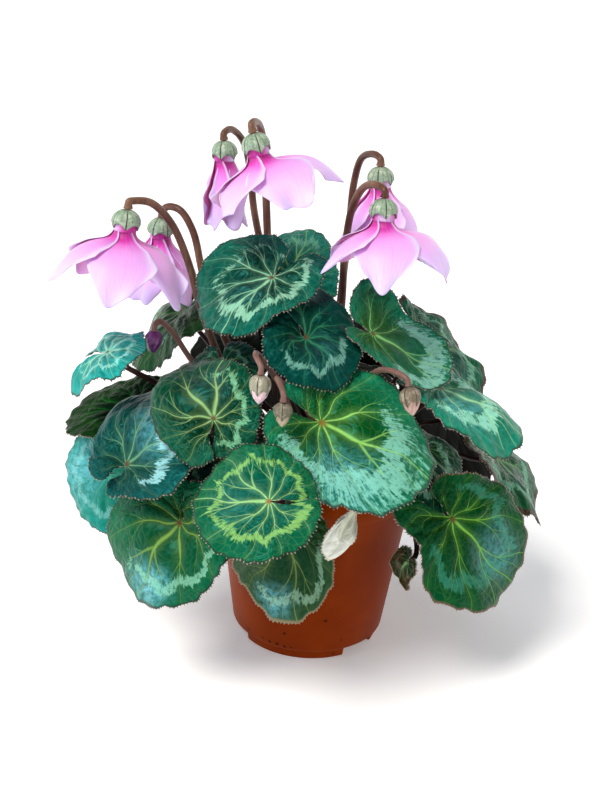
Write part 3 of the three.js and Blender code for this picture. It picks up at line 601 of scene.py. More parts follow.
def rimLook(name, paints):
    look, shader = startLook(name, 0.45, Specular_IOR_Level=0.3)
    fleck = grain(objectSpots(shader), 900.0, 2.0)
    dress(shader, blend(smooth(fleck, 0.4, 0.65), paints["teeth"], paints["edge"]))
    return look


def marginReach(reaches, share):  # a smooth line through the reaches, rounded off where the lobes part
    at = np.clip((share / 0.9 + 1) / 2, 0, 1) * (len(reaches) - 1)
    i = np.minimum(at.astype(int), len(reaches) - 2)
    p = at - i
    reach, slope = np.array(reaches, float), np.gradient(np.array(reaches, float))
    between = (reach[i] * (1 + 2 * p) * (1 - p) ** 2 + slope[i] * p * (1 - p) ** 2
               + reach[i + 1] * p ** 2 * (3 - 2 * p) + slope[i + 1] * p ** 2 * (p - 1))
    fromCleft = np.minimum((1 - np.abs(share)) / 0.15, 1)
    return between * (0.7 + 0.3 * np.sqrt(1 - (1 - fromCleft) ** 2))


def bladeSpots(leaf, index, share, out, tooth=0.0):  # millimetres in the blade's own frame
    form = {**leafForm, **leaf.form}
    size, shutFrom, shutBy = leaf.reaches[3], *form["shut"]
    r = out * marginReach(leaf.reaches, share) / size * (1 + tooth)
    apart = min(form["lobes"], 169)  # lobes that meet or lap are apart at the middle of the leaf
    angle = np.radians(share * (apart + (form["lobes"] - apart) * ease(r, shutFrom, shutBy)))
    u, v = r * np.cos(angle), r * np.sin(angle)
    funnel = form["rise"] * (1 - np.exp(-((r / 0.3) ** 2)))
    crease = form["fold"] * (np.hypot(v, 0.12) - 0.12)
    ruffle = form["ruffle"] * r ** 2 * np.sin(form["waves"] * angle + 2.4 * index)
    lap = form["lap"] * np.sign(share) * ease(np.abs(share), 0.5, 0.9)
    lap = lap * ease(r, shutFrom - 0.02, shutBy - 0.1)
    fall = form["droop"] * r ** 2 + form["curl"] * np.maximum(u, 0) ** 3
    return np.stack([u, v, funnel + crease + ruffle + lap - fall], 1) * size


def bladeFrame(leaf):
    face, downhill = heading(*leaf.face), heading(leaf.face[0], leaf.face[1] - 90)
    tip = Matrix.Rotation(math.radians(leaf.turn), 3, face) @ downhill
    return axesAt(leaf.at, tip, face.cross(tip), face)


def flatSpots(share, out):
    return np.stack([out * np.cos(3 * share), out * np.sin(3 * share)], 1)


def distances(spots, others):
    return np.linalg.norm(spots[:, None] - others[None], axis=2)


def liftedBy(name, leaf, index, place):  # a function of how the solid is bent clear of the blades below
    rings = [(2 * i / n - 1, out, 0.03 * (1 if i % 2 else -1) if out == 1 and 0 < i < n else 0)
             for n, out in ((32, 1), (16, 0.74), (8, 0.38)) for i in range(n + 1)] + [(0, 0, 0)]
    share, out, tooth = (np.array(column, float) for column in zip(*rings))
    spots = bladeSpots(leaf, index, share, out, tooth)
    cad = np.array([v.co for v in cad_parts[name].data.vertices]) / mm
    cad = np.unique(np.round(cad, 2), axis=0)
    back = np.array(place.inverted())
    cad = cad @ back[:3, :3].T + back[:3, 3]
    lift = np.zeros(len(spots))
    for i, spot in enumerate(spots):
        near = np.argsort(np.hypot(*(cad[:, :2] - spot[:2]).T))[:2]  # the point of each of its two faces
        lift[i] = cad[near, 2].mean() - spot[2]
    if np.abs(lift).max() < 0.15:
        return lambda share, out: 0.0
    flat = flatSpots(share, out)
    plane = np.column_stack([np.ones(len(flat)), flat])
    system = np.block([[distances(flat, flat) ** 3, plane], [plane.T, np.zeros((3, 3))]])
    weights = np.linalg.solve(system, np.concatenate([lift, np.zeros(3)]))

    def lifted(share, out):
        at = flatSpots(share, out)
        bent = distances(at, flat) ** 3 @ weights[:-3]
        return bent + np.column_stack([np.ones(len(at)), at]) @ weights[-3:]
    return lifted


bladeDetail = {"around": 128, "outward": 34, "thickness": 0.5, "edgeSteps": 900, "toothStep": 1.9,
               "toothLength": 1.1, "toothWidth": 0.55, "toothTip": 0.16}
lobesShut = {  # leaves whose lobes meet: the degrees that they turn to, and how high one laps the other
    "leaf_14": (196, 0.09), "leaf_22": (188, 0.07), "leaf_24": (188, 0.07), "leaf_13": (184, 0.04)}


def bladePlaces(leaf, index, lift, share, out):  # with the lift, fine waves at the margin, and puckers
    angle = np.radians(share * veins["halfPlan"])
    scallops = 0.014 * np.sin(27 * angle + index) + 0.008 * np.sin(43 * angle)
    scallops += 0.018 * np.sin(9 * angle + 2 * index)
    spots = bladeSpots(leaf, index, share, out, out ** 5 * scallops)
    size = leaf.reaches[3]
    across, ahead = planSpots(share, out, index)
    depth = veins["depth"] * size / veins["size"]
    hollow = depth * puckers(across, ahead, 1.7 * index) * (1 - ease(out, 0.75, 1))
    lumps = np.array([noise.noise((a * 6, b * 6, index)) for a, b in zip(across, ahead)])
    lumps = lumps * 0.8 * ease(out, 0.05, 0.3)
    waves = 0.012 * out ** 4 * np.sin(13 * angle + 1.7 * index)
    waves += 0.006 * out ** 3 * np.sin(29 * angle + index)
    spots[:, 2] += lift(share, out) + hollow + lumps + waves * size
    return spots


def makeBlade(index, name):
    leaf, size = leaves[name], leaves[name].reaches[3]
    place = bladeFrame(leaf)
    lift = liftedBy(name, leaf, index, place)
    if name in lobesShut:
        lobes, lap = lobesShut[name]
        leaf = leaf._replace(form={**leaf.form, "lobes": lobes, "lap": lap, "shut": (0.04, 0.26)})
    mesh, across, along = gridMesh(name, bladeDetail["around"], bladeDetail["outward"])
    share, out = 2 * across - 1, along ** 0.85
    setSpots(mesh, moved(place, bladePlaces(leaf, index, lift, share, out)))
    across, ahead = planSpots(share, out, index)
    giveMap(mesh, "leaf", 0.5 + 0.5 * across, 0.5 + 0.5 * ahead)
    weld(mesh, heading(*leaf.face), 2e-6)
    paints, seed = {**leafPaint, **leafPaints.get(name, {})}, 1.7 * index
    looks = [leafLook(f"{name}_face", seed, size, paints),
             undersideLook(f"{name}_underside", seed, size, paints), rimLook(f"{name}_rim", paints)]
    blade = finished(f"{name}_blade", mesh, looks, [skin(bladeDetail["thickness"])])
    addTeeth(blade.data, leaf, index, lift, place)
    stand(blade, "leaf", name)
    return lift


def addTeeth(mesh, leaf, index, lift, place):  # small blunt points all along the margin
    steps = bladeDetail["edgeSteps"]
    share = np.linspace(-0.995, 0.995, steps)
    edge = moved(place, bladePlaces(leaf, index, lift, share, np.ones(steps)))
    inside = moved(place, bladePlaces(leaf, index, lift, share, np.full(steps, 0.97)))
    gone = np.concatenate([[0], np.cumsum(np.linalg.norm(np.diff(edge, axis=0), axis=1))])
    count = int(gone[-1] / (bladeDetail["toothStep"] * mm))
    bm = opened(mesh)
    for k in range(1, count):
        i = int(np.clip(np.searchsorted(gone, gone[-1] * k / count), 1, steps - 2))
        outward = Vector(edge[i] - inside[i]).normalized()
        along = Vector(edge[i + 1] - edge[i - 1]).normalized()
        normal = outward.cross(along).normalized()
        length = bladeDetail["toothLength"] * (0.85 + 0.3 * noise.random()) * mm
        spot = Vector(edge[i]) + outward * (0.22 * length)
        turn = Matrix((normal.cross(outward), normal * 0.55, outward)).transposed().to_4x4()
        made = bmesh.ops.create_cone(
            bm, cap_ends=True, segments=5, radius1=bladeDetail["toothWidth"] * mm,
            radius2=bladeDetail["toothTip"] * mm, depth=length, matrix=Matrix.Translation(spot) @ turn)
        giveSlot(made, 2)
    closed(bm, mesh)


noise.seed_set(7)
blades = {name: (leaves[name], index, makeBlade(index, name)) for index, name in enumerate(leaves)}


corm = {"radius": 21, "height": 26, "centre": 93, "colours": ("#4a3524", "#6a4c34", "#2c1c12")}
# the leaf stalks' near-black colours are partly their own maroon and partly painted shade of the inside of
# the mound
leafStalk = {"radius": 1.5, "ring": 16, "colours": ("#46201a", "#5c3426", "#220c08")}


def crownSpot(bearing, ring):  # a point of the corm's crown, and the way out of it there
    rise = corm["height"] / 2 / corm["radius"]
    level = math.sqrt(corm["radius"] ** 2 - ring ** 2)
    outward = heading(bearing, 0)
    spot = outward * ring + Vector((0, 0, corm["centre"] + rise * level))
    return spot, (outward * ring * rise ** 2 + Vector((0, 0, rise * level))).normalized()


def stemLook(name, colours, gloss=0.4):  # two mixed colours high up, and a third lower down and in streaks
    look, shader = startLook(name, gloss, Specular_IOR_Level=0.3)
    where = objectSpots(shader)
    long = node(where.tree, "ShaderNodeMapping", {"Vector": where, "Scale": (1.0, 1.0, 0.14)})
    streak, cloud = grain(long, 620.0), grain(where, 45.0, 2.0)
    high = smooth(cloud * 0.05 + parts(where)[2], 0.15, 0.26)
    colour = blend(high, colours[2], blend(smooth(cloud, 0.35, 0.65), colours[0], colours[1]))
    dress(shader, layered(colour, (smooth(streak, 0.45, 0.75, 0.0, 0.5), colours[2])), streak, 0.12)
    return look


def stalkLine(name):
    leaf, index, lift = blades[name]
    turn = np.array(bladeFrame(leaf))
    middle = bladePlaces(leaf, index, lift, np.array([0.0]), np.array([0.0]))[0]
    ring = bladePlaces(leaf, index, lift, np.linspace(-1, 1, 9), np.full(9, 0.38)) - middle
    face = sum((Vector(a).cross(Vector(b)) for a, b in zip(ring, ring[1:])), Vector())
    face = Vector(turn[:3, :3] @ np.array(face.normalized()))
    end = Vector(turn[:3, :3] @ middle + turn[:3, 3]) - face * 0.55
    spot, outward = crownSpot(math.degrees(math.atan2(end.x, -end.y)), leafStalk["ring"])
    foot = spot - outward * 4
    span = (end - foot).length
    side = outward.cross(end - foot).normalized()
    bow, sway, drop = leaf.bow
    first, second = foot + outward * bow * span + side * sway * span, end - face * drop * span
    line = []
    for i in range(25):
        t = i / 24
        at = foot * (1 - t) ** 3 + first * 3 * t * (1 - t) ** 2 + second * 3 * t * t * (1 - t) + end * t ** 3
        swell = 0.3125 * math.exp(-((1 - t) / 0.04) ** 2)  # where it meets the blade
        line.append((at, leafStalk["radius"] * (1.12 - 0.2 * t + swell)))
    return line


def makeCormAndStalks():
    mesh = tubeMesh("stalks", [stalkLine(name) for name in leaves], 12)
    bm = opened(mesh)
    made = bmesh.ops.create_uvsphere(bm, u_segments=64, v_segments=32, radius=corm["radius"] * mm)
    tall = corm["height"] / 2 / corm["radius"]
    for v in made["verts"]:
        lump = 1 + 0.03 * noise.noise(v.co * 120) + 0.015 * noise.noise(v.co * 400)
        v.co = Vector((v.co.x * lump, v.co.y * lump, v.co.z * tall * lump + corm["centre"] * mm))
    giveSlot(made, 1)
    closed(bm, mesh)
    looks = [stemLook("leafStalkSkin", leafStalk["colours"]), stemLook("cormSkin", corm["colours"], 0.8)]
    stand(finished("corm_and_stalks", mesh, looks), "leaf_stalk", "corm_and_leaf_stalks")


pot = {
    "height": 104, "rimRadius": 60, "footRadius": 40, "baseRadius": 43, "footHeight": 6, "wall": 1.4,
    "bandHeight": 13, "bandStep": 3.4, "floor": 2.4, "feet": 3, "notchBearing": 49, "notchWidth": 34,
    "drainHoles": 6, "drainRadius": 4, "drainRing": 29, "steps": 144,
    # dark specks low on the wall: bearing, height and size
    "specks": ((13, 27.8, 1.3), (-15, 17, 1.0), (-33, 9.4, 0.9), (-27, 8.6, 1.2), (-21, 8.6, 1.4),
               (-15, 7.8, 1.2), (-10, 8, 0.9)),
}


def potWall(z):
    slope = (pot["rimRadius"] - pot["bandStep"] - pot["baseRadius"]) / (pot["height"] - pot["footHeight"])
    return pot["baseRadius"] + slope * (z - pot["footHeight"])


def spun(name, profile, steps, start=0.0, sweep=360.0):  # a profile of (radius, height) about the pot's axis
    capped = sweep < 360
    bm = bmesh.new()
    spots = [bm.verts.new((r * mm, 0, z * mm)) for r, z in profile]
    edges = [bm.edges.new(pair) for pair in zip(spots, spots[1:])]
    if capped:
        edges.append(bm.edges.new((spots[-1], spots[0])))
        bmesh.ops.rotate(bm, verts=bm.verts, matrix=Matrix.Rotation(math.radians(start), 3, "Z"))
    bmesh.ops.spin(bm, geom=spots + edges, cent=(0, 0, 0), axis=(0, 0, 1), angle=math.radians(sweep),
                   steps=steps, use_merge=not capped)
    if capped:
        bmesh.ops.holes_fill(bm, edges=bm.edges)
    bmesh.ops.remove_doubles(bm, verts=bm.verts, dist=1e-6)
    bmesh.ops.recalc_face_normals(bm, faces=bm.faces)
    return closed(bm, name)


def potLook():
    look, shader = startLook("terracottaPlastic", 0.48, Specular_IOR_Level=0.1, Specular_Tint="#ff9a5a")
    where = objectSpots(shader)
    cloud, fine, chance = grain(where, 16.0), grain(where, 900.0, 2.0), grain(where, 60.0, 2.0)
    crumbs = node(where.tree, "ShaderNodeTexVoronoi", {"Vector": where, "Scale": 190.0})
    low = smooth(parts(where)[2], 0.0, 0.03, 1.0, 0.15)
    dirt = smooth(crumbs, 0.1, 0.3, 1.0, 0.0) * smooth(chance, 0.56, 0.64) * low
    for bearing, tall, size in pot["specks"]:
        at = (heading(bearing, 0) * potWall(tall) + Vector((0, 0, tall))) * mm
        away = node(where.tree, "ShaderNodeVectorMath", {0: where, 1: at}, "Value", operation="DISTANCE")
        ragged = (fine - 0.5) * 0.002 + away
        dirt = most([dirt, smooth(ragged, 0.5 * size * mm, size * mm, 1.0, 0.0)])
    colour = layered(blend(smooth(cloud, 0.3, 0.7), "#8e3604", "#722602"), (dirt * 0.9, "#200c04"))
    dress(shader, colour, fine * 0.3 + dirt, 0.08)
    return look


def makePot():
    foot, high, wall, footRadius = pot["footHeight"], pot["height"], pot["wall"], pot["footRadius"]
    bandFrom, floorTop, step = high - pot["bandHeight"], foot + pot["floor"], pot["bandStep"]
    profile = [
        (0, foot - 0.5), (footRadius - 5, foot - 0.5), (footRadius + 1, foot - 0.5),
        (pot["baseRadius"] - 0.9, foot - 0.1), (pot["baseRadius"] - 0.2, foot + 0.5),
        (potWall(foot + 1.6), foot + 1.6),
        (potWall(30), 30), (potWall(60), 60), (potWall(bandFrom - 1.2), bandFrom - 1.2),
        (potWall(bandFrom) + 0.3, bandFrom - 0.3), (potWall(bandFrom) + step - 0.5, bandFrom - 0.1),
        (potWall(bandFrom) + step, bandFrom + 0.5), (pot["rimRadius"] - 0.05, high - 0.9),
        (pot["rimRadius"] - 0.35, high - 0.2), (pot["rimRadius"] - 0.9, high),
        (potWall(high) - wall + 0.5, high), (potWall(high) - wall, high - 0.5),
        (potWall(60) - wall, 60), (potWall(floorTop) - wall, floorTop), (0, floorTop)]
    holes = bmesh.new()
    for i in range(pot["drainHoles"]):
        at = heading(360 * i / pot["drainHoles"], 0) * pot["drainRing"] * mm
        bmesh.ops.create_cone(holes, cap_ends=True, segments=40, radius1=pot["drainRadius"] * mm,
                              radius2=pot["drainRadius"] * mm, depth=0.03, matrix=Matrix.Translation(at))
    cutter = finished("holes", closed(holes, "holes"), [])
    shell = finished("pot_shell", spun("potShell", profile, pot["steps"]), [potLook()],
                     [("BOOLEAN", {"object": cutter, "solver": "EXACT"})])
    bpy.data.objects.remove(cutter)
    bm = opened(shell.data)
    sweep = 360 / pot["feet"] - pot["notchWidth"]
    section = [(footRadius - 4, 0), (footRadius - 0.5, 0), (footRadius, 0.4), (footRadius + 1, foot - 0.3),
               (footRadius - 5, foot - 0.3)]
    for i in range(pot["feet"]):
        start = pot["notchBearing"] - 90 + pot["notchWidth"] / 2 + 360 * i / pot["feet"]
        bm.from_mesh(spun("foot", section, 40, start, sweep))
    closed(bm, shell.data)
    stand(shell, "pot", "pot")
    shell.data.set_sharp_from_angle(angle=math.radians(32))


soil = {"top": 94, "crumbs": 520, "perlite": 0.12, "clods": ((1.6, 90), (0.8, 260), (0.4, 700)),
        "gap": 0.45}  # from the soil to the wall


def makeSoil():
    bottom = pot["footHeight"] + pot["floor"] + 0.3
    inner, lowest = (potWall(z) - pot["wall"] - soil["gap"] for z in (soil["top"], bottom))
    profile = [(0, bottom), (lowest, bottom), (inner, soil["top"] - 0.5)]
    profile += [(inner * k / 26, soil["top"]) for k in range(25, -1, -1)]
    mesh = spun("soilBed", profile, 128)
    bm = opened(mesh)
    for v in bm.verts:
        if v.co.z > (soil["top"] - 0.6) * mm:
            v.co.z += sum(high * noise.noise(v.co * fine) for high, fine in soil["clods"]) * mm
    draw = random.Random(11)
    for _ in range(soil["crumbs"]):
        turn, far = draw.uniform(0, 360), (inner - 3) * math.sqrt(draw.uniform(0.14, 1))
        at = heading(turn, 0) * far + Vector((0, 0, soil["top"] + draw.uniform(-0.4, 1.0)))
        size = draw.uniform(0.5, 1.7) * mm
        matrix = Matrix.Translation(at * mm) @ Matrix.Rotation(draw.uniform(0, 6), 4, "X") @ Matrix.Diagonal(
            (1, draw.uniform(0.6, 1), draw.uniform(0.5, 1), 1))
        made = bmesh.ops.create_icosphere(bm, subdivisions=1, radius=size, matrix=matrix)
        if draw.random() < soil["perlite"]:
            giveSlot(made, 1)
    closed(bm, mesh)
    peat, shader = startLook("peat", 0.95)
    fine = grain(objectSpots(shader), 420.0, 4.0)
    dress(shader, blend(smooth(fine, 0.35, 0.7), "#1c120b", "#4a3322"), fine, 0.8)
    perlite, shader = startLook("perlite", 0.9)
    dress(shader, blend(grain(objectSpots(shader), 900.0), "#d8d2c4", "#8f8676"))
    stand(finished("soil_bed", mesh, [peat, perlite]), "soil", "soil")


makeCormAndStalks()
makePot()
makeSoil()
print("stage: corm, stalks, pot and soil")


calyx = {"radius": 7.1, "height": 6.5, "tips": 5, "wall": 0.7, "around": 90, "down": 18,
         "tones": ("#8ea68c", "#c0ccb4", "#5a4634", "#5e6a54"), "ribs": 0.3, "budRibs": 0.12}
mouth = {"radius": 5.8, "wall": 2, "top": 2.6, "bottom": 10.5}
petal = {"root": 9, "stations": (0, 0.15, 0.34, 0.64, 1), "halfWidths": (3.6, 10.2, 18.8, 23.5, 11.5),
         "thickness": 0.35, "shoulder": 33, "fall": 0.72, "across": 22, "along": 34}
petalTones = {  # stops along the petal, then the colour of its streaks
    "petalOutside": (((0.0, "#9c0a6c"), (0.1, "#cf1fa2"), (0.2, "#ec6cd4"), (0.34, "#ee94e4"),
                      (0.62, "#e8b2f2"), (1.0, "#dccafc")), "#f078dc"),
    "petalInside": (((0.0, "#9c0a6c"), (0.15, "#c83a9c"), (0.4, "#d868b4"), (0.8, "#e08cd0"),
                     (1.0, "#e6acea")), "#c83a90"),
}
flowerStalk = {"radius": 2.1, "ring": 5.2, "colours": ("#543024", "#785642", "#2b0b03")}
budStalk = {"radius": 1.5, "ring": 11, "colours": ("#6e4a42", "#54302a", "#8c6c60")}

# Which side of the crown the stalk leaves, the points it passes, the calyx's top, the way the flower hangs,
# and its petals: the first one's turn, their spread with how much more to one side, and their lengths.
Bloom = namedtuple("Bloom", "side passes top hangs petals size", defaults=(None, 1))
flowerRows = {
    "flower_1": (-70, ((-40, -17, 140), (-62, -18, 185), (-72, -22, 220), (-80, -26, 239), (-89, -33, 250),
                       (-97, -40, 252)), (-99, -42, 248), (-60, 8), (-8, (38, 4, 60), (42, 46, 47, 43, 44))),
    "flower_2": (-130, ((-36, 0, 140), (-57, 0, 180), (-66, 0, 206), (-72, 3, 228), (-79, 6, 238),
                        (-86, 10, 239)), (-90, 13, 232), (-100, 4), (10, (8, 0, 0), (36, 38, 38, 36, 36))),
    "flower_3": (-10, ((-18, -2, 140), (-30, 2, 200), (-34, 5, 240), (-36, 3, 268), (-38, -8, 285),
                       (-40, -24, 291)), (-40, -34, 287), (90, 16),
                 (-134, (43, 10, 0), (36, 42, 42, 38, 36))),
    "flower_4": (170, ((-16, 18, 140), (-32, 40, 190), (-44, 57, 230), (-47, 59, 251), (-51, 53, 268),
                       (-57, 42, 276)), (-60, 34, 271), (60, 4), (36, (-20, 0, 0), (37, 37, 38, 38, 37))),
    "flower_5": (50, ((3, -6, 140), (8, -4, 190), (8, -4, 226), (10, -8, 247), (15, -19, 261),
                      (21, -31, 265)), (25, -38, 260), (10, 6), (-10, (40, 8, 90), (44, 44, 40, 38, 37))),
    "flower_6": (110, ((5, 14, 140), (8, 32, 190), (10, 42, 228), (11, 44, 250), (14, 38, 265),
                       (20, 26, 270)), (24, 18, 265), (60, 4), (0, (6, 0, 0), (36, 36, 36, 36, 36))),
}
flowers = {name: Bloom(*row) for name, row in flowerRows.items()}
buds = {  # these have no open petals, but a size
    "bud_1": Bloom(-34, ((-18, -28, 150), (-26, -48, 172), (-32, -62, 185), (-32, -74, 188)), (-29, -81, 181),
                   (-10, 6), None, 0.8),
    "bud_2": Bloom(10, ((-6, -34, 145), (-17, -62, 168), (-21, -84, 181), (-19, -94, 182)), (-17, -100, 175),
                   (0, 4), None, 0.66),
    "bud_3": Bloom(70, ((16, -30, 144), (24, -55, 174), (29, -71, 184), (36, -83, 187)), (41, -88, 182),
                   (40, 20), None, 0.75),
}
budTones = {  # the calyx's tones, then the furled petals'
    "bud_1": (("#9c9a84", "#ccc4b2", "#6a4640", "#7c6856"), ("#e8d0d0", "#f8d8e2", "#e0a4bc")),
    "bud_2": (("#6e6a58", "#a49c86", "#4a2c28", "#5a4a3c"), ("#8c8a6c", "#c4b498", "#a06e68")),
    "bud_3": (("#766c58", "#a89a86", "#5a2c2c", "#6a4a40"), ("#96886c", "#cca69c", "#8c5a5a")),
}
youngLeaf = Bloom(-100, ((-40, -10, 130), (-66, -18, 160), (-80, -25, 183), (-85, -29, 188)), (-87, -31, 183),
                  (-90, 2), None, 0.8)


def around(down, out, turn):  # beside a flower's axis: how far down, how far out, and the turn in radians
    return np.stack([down, out * np.sin(turn), out * np.cos(turn)], 1)


def throughSpots(spots, steps):  # a smooth line through points, crowding where they do
    ends = [2 * spots[0] - spots[1], *spots, 2 * spots[-1] - spots[-2]]
    line = []
    for p0, p1, p2, p3 in zip(ends, ends[1:], ends[2:], ends[3:]):
        a, b, c = ((q - p).length ** 0.5 for p, q in ((p0, p1), (p1, p2), (p2, p3)))
        m1 = ((p1 - p0) / a - (p2 - p0) / (a + b) + (p2 - p1) / b) * b
        m2 = ((p2 - p1) / b - (p3 - p1) / (b + c) + (p3 - p2) / c) * b
        for i in range(steps):
            t = i / steps
            line.append(p1 * (2 * t ** 3 - 3 * t * t + 1) + m1 * (t ** 3 - 2 * t * t + t)
                        + p2 * (3 * t * t - 2 * t ** 3) + m2 * (t ** 3 - t * t))
    return line + [spots[-1]]


def stemLine(bloom, stalk, above):  # from the corm to a little above the calyx's top
    start, outward = crownSpot(bloom.side, stalk["ring"])
    down = heading(bloom.hangs[0], bloom.hangs[1] - 90)
    foot, end = start + outward * 0.4, Vector(bloom.top) - down * above
    passes = [Vector(p) for p in bloom.passes]
    return throughSpots([foot, foot + outward * 4, *passes, end - down * 3, end], 8)


def makeStem(name, bloom, stalk, look, slot):
    line = stemLine(bloom, stalk, 0.7)
    last = len(line) - 1
    width = [stalk["radius"] * (1.04 - 0.16 * (i / last) + 0.25 * math.exp(-((last - i) / 3) ** 2))
             for i in range(last + 1)]
    mesh = tubeMesh(f"{name}_stem", [list(zip(line, width))], 16)
    stand(finished(f"{name}_stem", mesh, [look]), slot, f"{name}_stalk")


def calyxLook(name, colours, ribs):
    look, shader = startLook(name, 0.45, Specular_IOR_Level=0.35)
    across, along = parts(mapSpots(shader, "calyx"))[:2]
    fine, coarse = grain(objectSpots(shader), 900.0), grain(objectSpots(shader), 330.0)
    seams = [smooth(fromWhole(coarse * (0.006 * count) + across * count), 0.3 * width, width, share, 0.0)
             for count, width, share in ((5.0, 0.06, 1.0), (15.0, 0.12, ribs))]
    lines = most(seams) * smooth(along, 0.1, 0.3)
    colour = layered(
        blend(smooth(along, 0.0, 0.35), colours[2], colours[0]),
        (smooth(coarse, 0.5, 0.62, 0.0, 0.7), colours[1]),
        (smooth(fine, 0.5, 0.66, 0.0, 0.6), colours[3]),
        (lines * 0.9, "#2c1a16"),
        (smooth(along, 0.93, 1.0, 0.0, 0.5), "#4a2c24"))
    dress(shader, colour, lines * -0.9 + coarse, 0.4)
    return look


def makeCalyx(name, bloom, look, slot, hug=0.0):  # hug: how closely the sepals wrap a bud
    mesh, across, along = gridMesh(name, calyx["around"], calyx["down"])
    turn = 2 * np.pi * across
    point = np.abs((across * calyx["tips"]) % 1 - 0.5) * 2
    bend = np.minimum(along * 1.25, 1) * np.pi / 2
    skirt = ease(along, 0.5, 1)
    tips = 0.48 * point ** 1.6 - 0.04 + hug * (0.3 + 0.12 * point)
    down = calyx["height"] * (1 - np.cos(bend) + skirt * tips)
    ribs = 0.05 * np.abs(np.sin(7.5 * turn)) ** 0.5 * ease(along, 0.2, 0.5)
    puff = 1 - 0.1 * point ** 6 * ease(along, 0.1, 0.4) - ribs
    out = calyx["radius"] * np.sin(bend) * puff * (1 - skirt * (0.06 * point + hug * (0.12 + 0.12 * point)))
    setSpots(mesh, moved(hangingFrame(bloom.top, bloom.hangs), around(down, out, turn) * bloom.size))
    giveMap(mesh, "calyx", across, along)
    weld(mesh)
    dome = finished(f"{name}_sepals", mesh, [look], [skin(calyx["wall"] * bloom.size, 0, 0)])
    stand(dome, slot, f"{name}_calyx")


def petalLook(name):
    look, shader = startLook(name, 0.48, Subsurface_Weight=0.25, Subsurface_Scale=0.002, Sheen_Weight=0.15)
    stops, streakTone = petalTones[name]
    spot = mapSpots(shader, "petal")
    across, ahead = parts(spot)[:2]
    stretched = node(spot.tree, "ShaderNodeMapping", {"Vector": spot, "Scale": (26.0, 1.6, 1.0)})
    streak, cloud = grain(stretched, 1.0, 3.0, 0.6), grain(spot, 3.0, 2.0)
    along = ahead + (streak * 0.1 + (cloud * 0.16 + -0.13))
    tones = node(spot.tree, "ShaderNodeValToRGB", {0: along})
    elements = tones.socket.node.color_ramp.elements
    while len(elements) < len(stops):
        elements.new(0.5)
    for element, (at, code) in zip(elements, stops):
        element.position, element.color = at, paint(code)
    colour = layered(
        tones,
        (smooth(abs(across * 2.0 + -1.0), 0.6, 1.0, 0.0, 0.85), "#e8dcfe"),
        (smooth(streak, 0.5, 0.75, 0.0, 0.4), streakTone))
    dress(shader, colour, streak, 0.3, 0.7)
    return look


def petalLine(spread, along):  # how far down and out a petal is, a length along it
    down = np.full(along.shape, float(petal["root"]))
    out = np.full(along.shape, mouth["radius"] - mouth["wall"] / 2)
    for gone in range(60):
        part = np.clip(along - gone, 0, 1)
        fallen = 1 - petal["fall"] * ease(gone, 10, 38)
        flare = np.radians(ease(gone, -1, 9) * (spread + petal["shoulder"]) * fallen)
        down, out = down + part * np.cos(flare), out + part * np.sin(flare)
    return down, out


def petalSpots(turn, length, spreads, side, station, wave):
    spread, extra, toward = spreads
    half = np.interp(station, petal["stations"], petal["halfWidths"])
    trim = 1 - 0.26 * station * side ** 2 + 0.03 * station ** 4 * np.sin(6 * side + wave)
    along = length * station * trim
    middle = petalLine(np.full(side.shape, float(spread)), along)[1]
    angle = np.radians(turn) + np.arctan2(side * half, middle)
    down, out = petalLine(spread + extra * np.cos(angle - math.radians(toward)), along)
    lap = 2.2 * side * np.sqrt(station)
    folds = station ** 1.5 * (1.2 * np.sin(4.1 * side + wave) + 0.6 * np.sin(7.3 * side + 2 * wave))
    folds += 1.3 * np.abs(side) ** 3 * ease(station, 0.2, 0.6) * np.sin(9 * station + 3 * wave + side)
    folds += 1.2 * ease(station, 0.7, 1) * np.sin(5 * side + 2.3 * wave)
    crease = -0.5 * np.exp(-((side / 0.12) ** 2)) * station * (1 - station)
    return around(down, out * np.hypot(1, 0.35 * side * half / middle) + lap + folds + crease, angle)


def joinPart(bm, mesh, looks, thickness):  # a petal or the mouth gets its thickness and joins the flower
    part = finished(mesh.name, mesh, looks, [skin(thickness, 1, 0)])
    bm.from_mesh(part.data)
    bpy.data.objects.remove(part)


def makeCorolla(name, bloom, looks):
    first, spreads, lengths = bloom.petals
    place = hangingFrame(bloom.top, bloom.hangs)
    bm = bmesh.new()
    for i, length in enumerate(lengths):
        mesh, across, along = gridMesh(f"petal{i}", petal["across"], petal["along"])
        turn, wave = first + 360 * i / len(lengths), 1.3 * i + len(name) + bloom.side
        setSpots(mesh, moved(place, petalSpots(turn, length, spreads, 2 * across - 1, along, wave)))
        giveMap(mesh, "petal", across, along)
        weld(mesh, place.to_3x3() @ Vector((0, math.sin(math.radians(turn)), math.cos(math.radians(turn)))))
        joinPart(bm, mesh, looks, petal["thickness"])
    mesh, across, along = gridMesh("mouth", 48, 10)
    top = mouth["top"]
    rings = [(0.2, top), (3.2, top + 0.8), (5.2, top + 2.6), (5.8, top + 5), (5.7, 9), (5.5, mouth["bottom"])]
    out, down = (np.interp(along, np.linspace(0, 1, len(rings)), column) for column in zip(*rings))
    setSpots(mesh, moved(place, around(down, out - 0.6, 2 * np.pi * across)))
    giveMap(mesh, "petal", across, along * 0.08)
    weld(mesh)
    joinPart(bm, mesh, looks, 1.2)
    stand(finished(f"{name}_corolla", closed(bm, f"{name}_corolla"), looks), "petal", f"{name}_petals")


def budLook(name, tones):
    look, shader = startLook(name, 0.42)
    across, along = parts(mapSpots(shader, "petal"))[:2]
    seam = fromWhole(across * 5.0 + along * 0.8)
    fine = grain(objectSpots(shader), 700.0)
    colour = layered(
        blend(smooth(along, 0.3, 0.85), tones[0], tones[1]),
        (smooth(seam, 0.02, 0.12, 0.55, 0.0), tones[2]),
        (smooth(fine, 0.45, 0.7, 0.0, 0.3), tones[2]))
    dress(shader, colour, fine, 0.15)
    return look


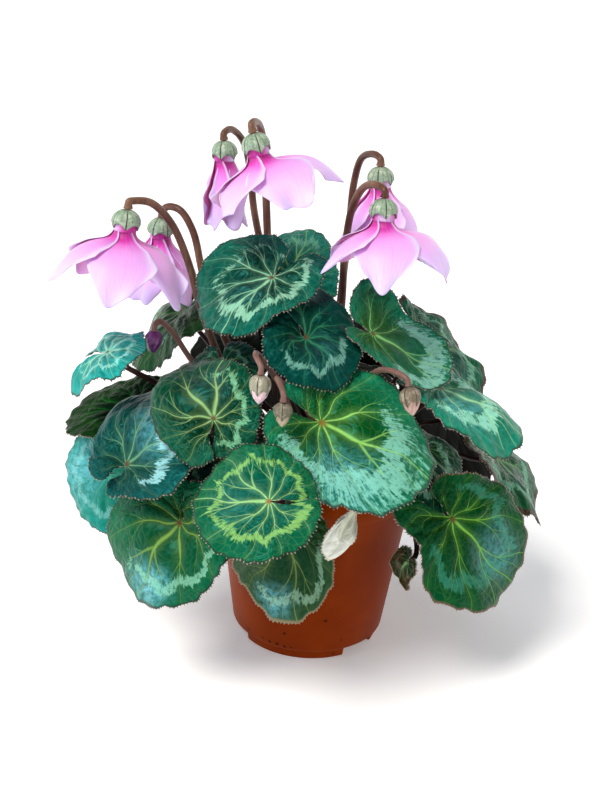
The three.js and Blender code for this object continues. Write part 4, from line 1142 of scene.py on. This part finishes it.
def furledMesh(name, bloom, twist, shift=0.0):  # a furled, pointed body under its calyx
    mesh, across, along = gridMesh(name, 60, 30)
    out = np.interp(along, (0, 0.08, 0.26, 0.48, 0.72, 0.92, 1), (0, 3.6, 5.5, 5.6, 4.1, 1.5, 0))
    turn = 2 * np.pi * across
    lobes = 1 + 0.07 * np.cos(5 * turn + twist * along) * ease(along, 0.1, 0.4)
    spots = around(1.8 + 16.2 * along + shift, out * lobes, turn) * bloom.size
    setSpots(mesh, moved(hangingFrame(bloom.top, bloom.hangs), spots))
    giveMap(mesh, "petal", across, along)
    weld(mesh)
    return mesh


def makeYoungLeaf():
    line = stemLine(youngLeaf, budStalk, 0.3)
    mesh = tubeMesh("young_stem", [[(p, budStalk["radius"]) for p in line]], 12)
    bm = opened(mesh)
    for face in bm.faces:
        face.material_index = 1
    bm.from_mesh(furledMesh("young_blade", youngLeaf, 1.2, -3.0))
    closed(bm, mesh)
    purple = budLook("youngPurple", ("#5a1c5c", "#4a1650", "#8a5a94"))
    looks = [purple, stemLook("youngStem", budStalk["colours"])]
    stand(finished("young_leaf_furled", mesh, looks), "young_leaf", "young_leaf")


def makeBlooms():
    stem, budStem = stemLook("flowerStem", flowerStalk["colours"]), stemLook("budStem", budStalk["colours"])
    sepals = calyxLook("sepals", calyx["tones"], calyx["ribs"])
    petals = [petalLook(name) for name in petalTones]
    for name, bloom in flowers.items():
        makeStem(name, bloom, flowerStalk, stem, "flower_stalk")
        makeCalyx(name, bloom, sepals, "calyx")
        makeCorolla(name, bloom, petals)
    for name, bloom in buds.items():
        sepalTones, furledTones = budTones[name]
        makeStem(name, bloom, budStalk, budStem, "bud_stalk")
        makeCalyx(name, bloom, calyxLook(f"{name}_green", sepalTones, calyx["budRibs"]), "bud_calyx", 1.0)
        mesh = furledMesh(f"{name}_furled", bloom, 4.5)
        furled = finished(f"{name}_furled", mesh, [budLook(f"{name}_pink", furledTones)])
        stand(furled, "bud_petal", f"{name}_petals")
    makeYoungLeaf()


makeBlooms()
print("stage: flowers and buds")
